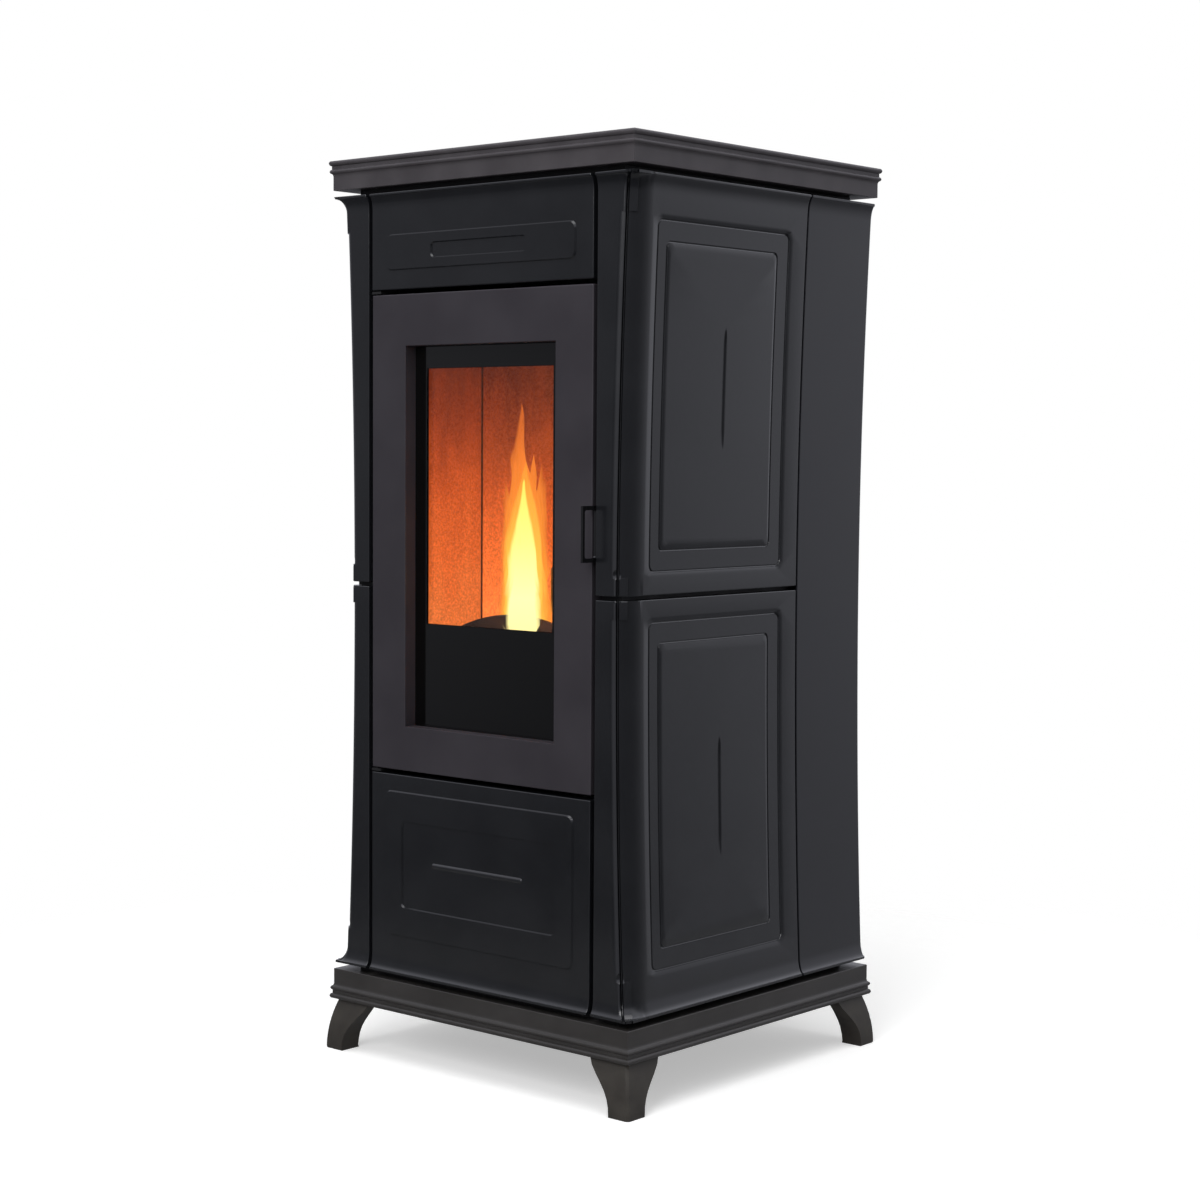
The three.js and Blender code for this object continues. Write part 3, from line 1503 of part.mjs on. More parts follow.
function powerInlet() {
  const z = plinthTop + inletLevel;
  const face = backPanelOuter + seat;
  const edges = [-inletOffset - inletPlateWidth / 2, -inletOffset + inletPlateWidth / 2];
  const plate = extrude(rounded(...edges, z - 28, z + 28, 3), "y", face, face + 2.5, 2);
  const body = box(-inletOffset - 14, -inletOffset + 14, backPanelInner - 22, face + 1, z - 24, z + 24);
  const socket = rounded(-inletOffset - 12, -inletOffset + 12, z - 21, z - 4, 2);
  const blades = [-7, 0, 7].map((dx) => {
    const x = -inletOffset + dx;
    const up = dx === 0 ? 2.5 : 0;
    return box(x - 1, x + 1, face - 19, face - 4, z - 15 + up, z - 10 + up);
  });
  const well = box(-inletOffset - 10.4, -inletOffset + 10.4, face - 12, face + 4, z + 4, z + 20);
  return join(cut(join(plate, body), extrude(socket, "y", face - 18, face + 4, 2), well), ...blades);
}

// The rocker about +X through its own origin, tipped so that one half stands out.
function rocker() {
  const outline = polygon([
    [-4.5, -6.6],
    [2.2, -7],
    [0.6, 0],
    [2.2, 7],
    [-4.5, 6.6],
    [-7, 0],
  ]);
  return extrude(outline, "x", -10, 10);
}

// ---- Assembly ----

const finishes = {
  glaze: { color: 0x232427, roughness: 0.3, metalness: 0 },
  castTop: { color: 0x3e3d40, roughness: 0.45, metalness: 0.5 },
  castLeg: { color: 0x3b3833, roughness: 0.55, metalness: 0.4 },
  doorPaint: { color: 0x38363a, roughness: 0.5, metalness: 0.3 },
  blackSteel: { color: 0x17171a, roughness: 0.5, metalness: 0.4 },
  galvanised: { color: 0x9a9c9e, roughness: 0.45, metalness: 0.9 },
  glass: { color: 0x101012, roughness: 0.08, metalness: 0 },
  rope: { color: 0xb9b4a6, roughness: 0.9, metalness: 0 },
  vermiculite: { color: 0xc9a66b, roughness: 0.9, metalness: 0 },
  castIron: { color: 0x4a4643, roughness: 0.7, metalness: 0.6 },
  brightSteel: { color: 0xc4c6c8, roughness: 0.3, metalness: 1 },
  aluminium: { color: 0xb5b7b9, roughness: 0.4, metalness: 0.9 },
  ceramicRod: { color: 0xe4ddd0, roughness: 0.6, metalness: 0 },
  blackPlastic: { color: 0x1c1c1e, roughness: 0.45, metalness: 0 },
  greyPlastic: { color: 0x8d8f92, roughness: 0.5, metalness: 0 },
  boardGreen: { color: 0x1f5a3c, roughness: 0.5, metalness: 0 },
};

const stove = new THREE.Group();

function add(name, body, finish, parent = stove) {
  const mesh = body.getMesh();
  const geometry = new THREE.BufferGeometry();
  geometry.setAttribute("position", new THREE.BufferAttribute(mesh.vertProperties, 3));
  geometry.setIndex(new THREE.BufferAttribute(mesh.triVerts, 1));
  const material = new THREE.MeshStandardMaterial({ ...finishes[finish], flatShading: true });
  const piece = new THREE.Mesh(geometry, material);
  piece.name = name;
  parent.add(piece);
  return piece;
}

// The same piece on both sides: drawn on the right, mirrored on the left.
function addPair(name, body, finish, suffix = "") {
  add(name + "_right" + suffix, body, finish);
  add(name + "_left" + suffix, body, finish).scale.x = -1;
}

add("top_plate", topPlate(), "castTop");
add("base_plinth", plinth(), "castTop");
addPair("leg_front", leg(), "castLeg");
const rearLegs = leg().mirror([0, 1, 0]);
addPair("leg_rear", rearLegs, "castLeg");

addPair("side_tile", sideTile(tileJointLevel + tileJoint / 2, tilesTop), "glaze", "_upper");
addPair("side_tile", sideTile(tilesBottom, tileJointLevel - tileJoint / 2), "glaze", "_lower");
add("front_tile_upper", frontTile(tilesTop - upperFrontTile, tilesTop, upperFrontLines()), "glaze");
add("front_tile_lower", frontTile(tilesBottom, tilesBottom + lowerFrontTile, lowerFrontLines()), "glaze");
addPair("rear_panel", rearPanel(), "blackSteel");
add("back_panel", backPanel(), "blackSteel");
addPair("chassis", chassis(), "blackSteel");

add("door_frame", doorFrame(), "doorPaint");
add("door_glass", doorGlass(), "glass");
add("glass_retainer", glassRetainer(), "blackSteel");
add("door_gasket", doorGasket(), "rope");
const upperBracket = doorTop + (doorGap - bracketThickness) / 2;
const lowerBracket = doorBottom - (doorGap + bracketThickness) / 2;
add("hinge_upper", hinge(upperBracket, doorTop - pinLength), "blackSteel");
add("hinge_lower", hinge(lowerBracket, doorBottom + pinLength), "blackSteel");
add("door_handle", handle(), "blackSteel");
add("handle_pin", handlePin(), "brightSteel");
add("latch_keeper", latchKeeper(), "brightSteel");

add("firebox", firebox(), "blackSteel");
addPair("liner", sideLiner(), "vermiculite");
add("liner_back", backLiner(), "vermiculite");
add("flame_baffle", flameBaffle(), "vermiculite");
add("hearth", hearth(), "castIron");
add("burn_pot", burnPot(), "castIron");
add("igniter", igniter(), "ceramicRod");
add("ash_drawer", ashDrawer(), "galvanised");

add("hopper_lid", lid(), "castTop");
add("lid_hinge_pin", lidHingePin(), "brightSteel");
add("hopper", hopper(), "galvanised");
add("hopper_grate", hopperGrate(), "brightSteel");
add("auger_tube", augerTube(), "galvanised");
stove.add(augerPlace);
add("auger_screw", augerScrew(), "brightSteel", augerPlace);
add("auger_motor", augerMotor(), "aluminium", augerPlace);

add("smoke_box", smokeBox(), "galvanised");
add("smoke_fan_housing", smokeFanHousing(), "aluminium");
const impeller = add("smoke_fan_impeller", radialWheel(), "brightSteel");
impeller.position.set(smokeFanX() + scrollWidth - scrollSheet - 3, fanY(), fanZ());
impeller.rotation.y = -Math.PI / 2;
add("smoke_fan_motor", smokeFanMotor(), "aluminium");
add("flue_spigot", flueSpigot(), "galvanised");
add("air_intake", airIntake(), "galvanised");

add("blower_housing", blowerHousing(), "galvanised");
const blowerDrum = add("blower_drum", drum(), "aluminium");
blowerDrum.position.set(0, blowerY(), blowerZ());
blowerDrum.rotation.y = Math.PI / 2;
add("blower_motor", blowerMotor(), "aluminium");

add("control_panel", controlPanel(), "blackPlastic");
const buttonNames = ["button_down", "button_up", "button_menu", "button_power"];
buttonPlaces().forEach((place, k) => add(buttonNames[k], button(place), "greyPlastic"));
add("control_board", controlBoard(), "boardGreen");
add("power_inlet", powerInlet(), "blackPlastic");
const powerRocker = add("power_rocker", rocker(), "blackPlastic");
powerRocker.position.set(-inletOffset, backPanelOuter + 2, plinthTop + inletLevel + 12);
powerRocker.rotation.x = radians(rockerTilt);

// The origin is on the floor, under the middle of the whole depth from the handle's bar to the spigot's end.
const frontReach = handleReach - doorY;
const rearReach = backPanelOuter + Math.max(spigotReach, intakeReach);
stove.position.y = (frontReach - rearReach) / 2;

export default stove;
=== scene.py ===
"""A pellet stove with a waisted body of glazed tiles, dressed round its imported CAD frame."""

import math
import random

import bmesh
import bpy
from mathutils import Matrix, Vector


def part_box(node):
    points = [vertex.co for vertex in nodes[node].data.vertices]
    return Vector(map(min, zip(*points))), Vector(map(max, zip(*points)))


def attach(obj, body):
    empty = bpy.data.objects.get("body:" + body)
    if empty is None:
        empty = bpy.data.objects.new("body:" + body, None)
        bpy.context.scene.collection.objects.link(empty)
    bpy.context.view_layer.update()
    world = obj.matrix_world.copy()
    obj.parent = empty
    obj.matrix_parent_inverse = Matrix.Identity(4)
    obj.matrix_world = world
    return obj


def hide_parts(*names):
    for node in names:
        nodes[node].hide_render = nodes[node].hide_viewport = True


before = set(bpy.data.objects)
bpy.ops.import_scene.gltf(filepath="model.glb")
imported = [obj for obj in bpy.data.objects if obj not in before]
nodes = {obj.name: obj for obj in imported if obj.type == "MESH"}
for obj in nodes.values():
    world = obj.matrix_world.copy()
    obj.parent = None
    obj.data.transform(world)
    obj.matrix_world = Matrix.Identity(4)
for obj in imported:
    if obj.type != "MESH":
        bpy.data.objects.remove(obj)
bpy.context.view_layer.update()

MM = 0.001
IN_MM = (1 / MM, 1 / MM, 1 / MM)

# The top plate is centred on the body, and the frame's origin lies a little behind that centre.
plate_low, plate_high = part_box("top_plate")
BODY_Y = (plate_low[1] + plate_high[1]) / 2

# ---- Sizes, in millimetres from the middle of the body and the floor ----

HALF_WIDTH = 256
HALF_DEPTH = 250
HEIGHT = 1150
PAST = 5  # how far a cutter reaches past the face it opens

# The top plate and the plinth share one moulding, and are hollow inside.
PLATE_BOTTOM = 1112.5
PLATE_SKIN = 13
PLINTH_BOTTOM = 65.6
PLINTH_TOP = 104.6
PLINTH_SKIN = 5
BAND_INSET = 4.3
BAND_X = HALF_WIDTH - BAND_INSET
BAND_Y = HALF_DEPTH - BAND_INSET
HOLLOW = ((-206, 206), (-200, 200))

# The lid's opening, the control panel's recess, the slots of the lid's lugs and the finger scoop.
LID_OPENING = ((-151, 151), (-21, 188), (HEIGHT - 20, HEIGHT + PAST))
PANEL_RECESS = ((172, 228), (25, 135), (HEIGHT - 10, HEIGHT + PAST))
LUG_X = 104.3
LUG_HALF = 16
LUG_SLOT = ((184, 194.6), (HEIGHT - 9.1, HEIGHT + PAST))
FINGER_SCOOP = ((-34, 34), (-35, -18), (HEIGHT - 11.7, HEIGHT + 8))

# The tiled body is narrowest at its waist, and coves draw it out to the bands at both ends.
TILES_BOTTOM = 113.1
TILES_TOP = 1104.5
JOINT_LOW = 607.5
JOINT_HIGH = 612.5
FRONT = -240
WAIST_X = 234
WAIST_LEVEL = 600
BOW = 10.2
BOW_REACH = 450
COVE = 19
COVE_TIP = 3
TILE_BACK = -222
TILE_INNER = 212
TILE_WALL = 11
TILE_ROUND = 1.3
STRIP_X = 192
SIDE_END = 101
CORNER_AREA = (20, 27)  # how far the tiles' corner is drawn out aslant, in x and y
FRONT_DEPTH = 20  # how far round the corner the front's coves reach
SLICES = 20
COVE_TURNS = 12

# Behind the tiles: black sheets behind the gaps and strips behind the joints, which paint in the
# shade there.
GAP_SHADE_X = 222
GAP_SHADE_Y = 226
GAP_SHADE_SHEET = 3
JOINT_SHADE_X = 223
JOINT_PLAY = 0.2

# The rear panels are folded from thick sheet.
REAR = 243.5
REAR_INNER = 195.7
REAR_FOLD = 5
SHEET = 3.4

# A side tile's corner: the cut, its stops, and the reed's round with its half axes.
CORNER_CUT = 13
LEDGE = 22
COVE_LEDGE = 46.5
STOP_ROUND = 3.0
SCOOP = 8.5
REED_ROUND = (20, 38)
REED_START = 19
HEAD_PLACE = (11.5, 4)  # the ball in a stop's head, in from the reed's start and up

# The slots beside the reed: the first bore's place, the step to the next, and the bore.
QUIRK_PLACE, QUIRK_STEP, QUIRK_BORE = (8.6, 3.6), (1.2, 1.5), 2.0
ARRIS_PLACE, ARRIS_STEP, ARRIS_BORE = (1.2, 0.6), 1.0, 1.5

# A side tile's panel: the sunken band, the raised field in it and the upright line. A groove is
# (spread from the edge it follows, corner radius, bore).
SINK = 1.9
PANEL_Y = (FRONT + 39, SIDE_END - 26.5)
FIELD_Y = (FRONT + 69.5, SIDE_END - 59)
MARGIN = 19.5
COVE_MARGIN = 44
FIELD_INSET = 34.5
PANEL_RIMS = (10.5, 7.3, 7.3)
PANEL_CORNER = 12
FIELD_SLOPES = (10, 10, 12)
FIELD_CORNER = 9
FIELD_SPREAD = 5
RIM_GROOVE = (1, 8, 1.5)
FOOT_GROOVE = (1.5, 6, 1.6)
LINE_Y = FRONT + 184
LINE_SHARE = 0.165
LINE_TAPER = 34
LINE_BORE = 4
LINE_OUT = 1.6  # how far the spindle's axis lies out of the face

# The front tiles' raised frames, as half widths and half heights about a middle level, and the
# ribs behind.
FRAME_RISE = 2.1
FRAME_SLOPE = 4.4
FRAME_CORNERS = (9, 6)
UPPER_TILE_LOW = 983
UPPER_MIDDLE = TILES_TOP - 75
UPPER_FRAME = ((162, 25.5), (80.5, 10))
LOWER_TILE_HIGH = 369.6
LOWER_MIDDLE = TILES_BOTTOM + 142.5
LOWER_FRAME = ((163, 96), (131, 56))
LOWER_LINE = (78, 4)
LINE_RADIUS = 4.4
RIB_HALF = 6
RIB_INSET = 8
RIB_BACK = -208.1

# The door, its glass with the print's edges, its seal's groove and its pins.
DOOR_X = 186
DOOR_LOW = 375.6
DOOR_HIGH = 977
DOOR_FRONT = -239.4
DOOR_BACK = -215.7
DOOR_ROUND = 1.6
WINDOW_ROUND = 1.0
WINDOW_X = 126.5
WINDOW_LOW = 432.1
WINDOW_HIGH = 912
REBATE = 11.5
GLASS_FRONT = -220.7
GLASS_PLAY = 0.3
PRINT_SIDE = 107.0
PRINT_TOP = 884.0
PRINT_BOTTOM = 563.0
SEAL_OUTSIDE = ((-169.3, 169.3), (392.3, 960.3))
SEAL_INSIDE = ((-158.7, 158.7), (402.9, 949.7))
HINGE_PIN = (-181, -234)
HINGE_BORE = 3.3
HINGE_DEPTH = 26
HANDLE_PIN = (-230, 684.8)
HANDLE_BORE = 3.15
HANDLE_DEPTH = 10.5
PIN_SIDES = 24

# The firebox's boards: their seams, the sizes of their grains, flakes and streaks, and the levels
# and colours of the fire's light painted on them as emission.
SEAM_X = 148.2
SEAM_Y = -76.0
GRAIN = 2.6
FLAKE = 4.5
STREAK = 26
GLOW_FADES = (540.0, 905.0)
BACK_FADES = (560.0, 780.0)
GLOW = ("#fb8440", "#f0702f", "#d55a22", "#983915", "#602210")

# The fire, and the way across it as it is seen.
FLAME_X, FLAME_Y = -28, -122
FLAME_LOW = 508
FACING_ACROSS = (0.756, 0.654)
FLAME_PATCH = 15


# ---- Modelling helpers ----


def at(x, y, z):
    """A point given from the middle of the body, as a point of the frame."""
    return Vector((x * MM, y * MM + BODY_Y, z * MM))


def clear_selection():
    bpy.ops.object.select_all(action="DESELECT")


def take(piece):
    clear_selection()
    piece.select_set(True)
    bpy.context.view_layer.objects.active = piece


def settle(piece):
    """Puts a piece's place, turn and size into its mesh."""
    take(piece)
    bpy.ops.object.transform_apply(location=True, rotation=True, scale=True)
    return piece


def block(x, y, z):
    """A block between three pairs of levels."""
    clear_selection()
    low, high = at(x[0], y[0], z[0]), at(x[1], y[1], z[1])
    bpy.ops.mesh.primitive_cube_add(size=1, location=(low + high) / 2, scale=high - low)
    return settle(bpy.context.object)


def bar(radius, start, end, sides):
    """A round bar between two points."""
    clear_selection()
    run = at(*end) - at(*start)
    bpy.ops.mesh.primitive_cylinder_add(
        vertices=sides,
        radius=radius * MM,
        depth=run.length,
        location=(at(*start) + at(*end)) / 2,
        rotation=run.to_track_quat("Z", "Y").to_euler(),
    )
    return settle(bpy.context.object)


def open_edit(piece, mode="EDGE"):
    take(piece)
    bpy.ops.object.mode_set(mode="EDIT")
    bpy.ops.mesh.select_mode(type=mode)
    bpy.ops.mesh.select_all(action="DESELECT")


def close_edit():
    bpy.ops.object.mode_set(mode="OBJECT")


def pick_edges(piece, wanted):
    """Selects the edges that wanted(middle, direction) says yes to, in millimetres."""
    mesh = bmesh.from_edit_mesh(piece.data)
    for edge in mesh.edges:
        a, b = (v.co for v in edge.verts)
        middle = ((a + b) / 2 - Vector((0, BODY_Y, 0))) / MM
        edge.select_set(wanted(middle, (b - a).normalized()))
    bmesh.update_edit_mesh(piece.data)


def pick_faces(piece, wanted):
    """Selects the faces that wanted(middle, normal) says yes to, in millimetres."""
    mesh = bmesh.from_edit_mesh(piece.data)
    for face in mesh.faces:
        middle = (face.calc_center_median() - Vector((0, BODY_Y, 0))) / MM
        face.select_set(wanted(middle, face.normal))
    bmesh.update_edit_mesh(piece.data)


def bevel_edges(piece, width, segments, wanted=None):
    """Rounds the edges picked by wanted, or all of them."""
    open_edit(piece)
    pick_edges(piece, wanted or (lambda middle, direction: True))
    bpy.ops.mesh.bevel(offset=width * MM, segments=segments, affect="EDGES", clamp_overlap=True)
    close_edit()


def apply_all(piece):
    take(piece)
    for modifier in list(piece.modifiers):
        bpy.ops.object.modifier_apply(modifier=modifier.name)


def carve(piece, *tools, how="DIFFERENCE"):
    """Cuts each tool out of a piece, or joins it on, and deletes the tool."""
    for tool in tools:
        modifier = piece.modifiers.new("Carve", "BOOLEAN")
        modifier.operation = how
        modifier.object = tool
        modifier.solver = "EXACT"
        apply_all(piece)
        bpy.data.objects.remove(tool)
    return piece


def soften(piece, width, segments, angle):
    """Rounds every edge sharper than angle a little, as casting, folding or glaze does."""
    modifier = piece.modifiers.new("Soften", "BEVEL")
    modifier.width = width * MM
    modifier.segments = segments
    modifier.limit_method = "ANGLE"
    modifier.angle_limit = math.radians(angle)
    modifier.use_clamp_overlap = True
    apply_all(piece)
    return piece


def mirrored(piece):
    """A copy on the other side of the body, with its faces still outwards."""
    take(piece)
    bpy.ops.object.duplicate(linked=False)
    copy = bpy.context.object
    copy.scale.x = -1
    settle(copy)
    bpy.ops.object.mode_set(mode="EDIT")
    bpy.ops.mesh.select_all(action="SELECT")
    bpy.ops.mesh.normals_make_consistent(inside=False)
    close_edit()
    return copy


def both_sides(piece):
    """A piece and its mirror image, each with the name of its side."""
    return (piece, "right"), (mirrored(piece), "left")


def joined(*parts):
    clear_selection()
    for part in parts:
        part.select_set(True)
    bpy.context.view_layer.objects.active = parts[0]
    bpy.ops.object.join()
    return parts[0]


def from_frame(name, width, segments=2, angle=32):
    """A copy of a CAD node, cleaned and with its sharp edges rounded."""
    copy = nodes[name].copy()
    copy.data = nodes[name].data.copy()
    for key in list(copy.keys()):
        del copy[key]
    copy.parent = None
    bpy.context.scene.collection.objects.link(copy)
    open_edit(copy, "VERT")
    bpy.ops.mesh.select_all(action="SELECT")
    bpy.ops.mesh.remove_doubles(threshold=0.01 * MM)
    bpy.ops.mesh.dissolve_limited(angle_limit=math.radians(1))
    close_edit()
    return soften(copy, width, segments, angle)


def put(piece, name, material, body="stove", replaces=None, smooth=35):
    """Names and finishes a piece, and lets it ride on its body."""
    piece.name = name
    piece.data.name = name
    piece.data.materials.clear()
    piece.data.materials.append(material)
    take(piece)
    bpy.ops.object.shade_smooth_by_angle(angle=math.radians(smooth))
    even = piece.modifiers.new("Even shading", "WEIGHTED_NORMAL")
    even.keep_sharp = True
    apply_all(piece)
    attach(piece, body)
    if replaces:
        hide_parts(*replaces)
    return piece


# ---- Material helpers ----


def colour(code):
    """An sRGB hex colour, or a plain grey level, as linear RGBA."""
    if not isinstance(code, str):
        return (code, code, code, 1.0)
    values = [int(code[i : i + 2], 16) / 255 for i in (1, 3, 5)]
    linear = [v / 12.92 if v <= 0.04045 else ((v + 0.055) / 1.055) ** 2.4 for v in values]
    return (*linear, 1.0)


def new_material(name):
    material = bpy.data.materials.new(name)
    material.use_nodes = True
    material.node_tree.nodes.clear()
    return material


def node(owner, kind, settings=None, links=None, stops=None, **attributes):
    """Adds a shader node.

    settings are socket values, links are sockets fed by a node's first output or by a
    (node, output) pair, and stops are a colour ramp's (position, colour) pairs.
    """
    made = owner.node_tree.nodes.new("ShaderNode" + kind)
    for key, value in attributes.items():
        setattr(made, key, value)
    for key, value in (settings or {}).items():
        made.inputs[key].default_value = value
    for key, source in (links or {}).items():
        source, output = source if isinstance(source, tuple) else (source, 0)
        owner.node_tree.links.new(source.outputs[output], made.inputs[key])
    if stops:
        elements = made.color_ramp.elements
        elements.remove(elements[0])
        elements[0].position, elements[0].color = stops[0][0], colour(stops[0][1])
        for position, code in stops[1:]:
            elements.new(position).color = colour(code)
    return made


def surface(name, colours, grain, roughness, bump, settings, stretch=(1, 1, 1), detail=3.0):
    """A painted, cast, glazed or rolled surface: two tones, uneven gloss and a fine relief.

    grain is the size of the tone's patches and bump the relief's (grain, height), all in
    millimetres. stretch below 1 draws the relief out along an axis.
    """
    material = new_material(name)
    place = node(material, "TexCoord")
    flat, drawn = (
        node(material, "Mapping", {"Scale": scale}, {"Vector": (place, "Object")})
        for scale in (IN_MM, [share / MM for share in stretch])
    )
    tone = node(material, "TexNoise", {"Scale": 1 / grain, "Detail": detail}, {"Vector": flat})
    mixed = node(
        material, "ValToRGB", links={"Fac": tone}, stops=[(0.32, colours[0]), (0.68, colours[1])]
    )
    gloss = node(
        material,
        "MapRange",
        {"From Min": 0.3, "From Max": 0.7, "To Min": roughness[0], "To Max": roughness[1]},
        {"Value": tone},
    )
    relief = node(material, "TexNoise", {"Scale": 1 / bump[0], "Detail": 2.0}, {"Vector": drawn})
    raised = node(material, "Bump", {"Strength": 1.0, "Distance": bump[1] * MM}, {"Height": relief})
    shader = node(
        material,
        "BsdfPrincipled",
        settings,
        {"Base Color": mixed, "Roughness": gloss, "Normal": raised},
    )
    node(material, "OutputMaterial", links={"Surface": shader})
    return material


# ---- Materials ----


def coat(specular, **more):
    """The shader's settings for glaze, enamel and paint."""
    return {"IOR": 1.5, "Specular IOR Level": specular, **more}


# Glazed ceramic: fired black glass over clay, glossy, with the faint orange peel of its glaze.
glaze = surface(
    "Black glazed ceramic", ("#121316", "#17181b"), 70, (0.17, 0.23), (6, 0.03), coat(0.42)
)

# Sheet steel in satin black stove paint, in the tiles' colour.
side_paint = surface(
    "Satin black stove paint", ("#101115", "#14151a"), 90, (0.3, 0.36), (1.6, 0.012), coat(0.4)
)

# Cast iron in satin enamel, charcoal above and browner below, where the plinth's darker copy paints
# in
# the shade low on the stove: sprayed along the mouldings, which leaves the relief drawn out that
# way.
ALONG = (0.05, 0.05, 1)
enamel = surface(
    "Charcoal enamelled cast iron",
    ("#3c393c", "#464346"),
    45,
    (0.4, 0.5),
    (1.6, 0.05),
    coat(0.2),
    ALONG,
)
# The plinth's enamel is darker than the plate's as painted shade.
shaded_plinth_enamel = surface(
    "Brown-black enamelled cast iron with painted shade",
    ("#2b2928", "#32302f"),
    45,
    (0.38, 0.48),
    (1.6, 0.05),
    coat(0.3),
    ALONG,
)

# The legs' enamel is browner still, and the sand casting leaves a slight waviness under it.
leg_enamel = surface(
    "Brown enamelled cast iron", ("#302d2a", "#3a3733"), 30, (0.42, 0.54), (3.0, 0.06), coat(0.2)
)

# Heat-proof door paint with a fine metallic flake.
door_paint = surface(
    "Metallic charcoal door paint",
    ("#322f34", "#38353a"),
    90,
    (0.44, 0.5),
    (0.9, 0.012),
    coat(0.25, Metallic=0.2),
)

# Matt black stove paint on folded steel.
stove_black = surface(
    "Matt black stove paint", ("#0c0c0d", "#121213"), 40, (0.55, 0.66), (1.2, 0.02), coat(0.3)
)

# Gloss black on the bail handle: smooth powder coat.
handle_black = surface(
    "Gloss black powder coat", ("#0a0a0b", "#0f0f11"), 20, (0.16, 0.24), (2.5, 0.02), coat(0.5)
)

# Galvanised sheet: large grey zinc spangles.
zinc = surface(
    "Galvanised steel",
    ("#83878a", "#a4a7a9"),
    9,
    (0.34, 0.5),
    (6, 0.02),
    {"Metallic": 1.0},
    detail=0.0,
)

# Bright zinc-plated or stainless small parts.
bright = surface(
    "Zinc-plated steel", ("#a9abad", "#bfc1c2"), 6, (0.22, 0.32), (0.8, 0.01), {"Metallic": 1.0}
)

# Pressure die-cast aluminium, slightly grained.
cast_aluminium = surface(
    "Die-cast aluminium", ("#9a9c9e", "#adafb1"), 12, (0.38, 0.5), (0.9, 0.03), {"Metallic": 1.0}
)

# Bare grey iron, dark with burnt-on soot.
grey_iron = surface(
    "Sooted grey iron",
    ("#1c1715", "#352a25"),
    14,
    (0.6, 0.8),
    (1.5, 0.12),
    {"Metallic": 0.3, "IOR": 1.5},
)

# Twisted glass-fibre rope: pale, dull and coarse.
rope = surface("Glass-fibre rope", ("#8d8778", "#b3ac9c"), 3, (0.8, 0.95), (1.5, 0.4), {"IOR": 1.5})

# Moulded plastic with a fine spark-eroded grain.
black_plastic = surface(
    "Black ABS plastic", ("#131314", "#19191a"), 15, (0.4, 0.5), (0.7, 0.02), {"IOR": 1.53}
)
grey_plastic = surface(
    "Grey ABS plastic", ("#77797c", "#84868a"), 15, (0.38, 0.46), (0.7, 0.015), {"IOR": 1.53}
)

# Solder mask on the control board, thin and glossy over the copper.
circuit_board = surface(
    "Green solder mask", ("#174a31", "#1f5c3d"), 8, (0.3, 0.4), (1.2, 0.03), {"IOR": 1.5}
)

# The igniter's rod: white ceramic, fired without a glaze.
heater_ceramic = surface(
    "Fired alumina", ("#cfc8ba", "#e0d9cc"), 6, (0.55, 0.7), (1.0, 0.02), {"IOR": 1.6}
)


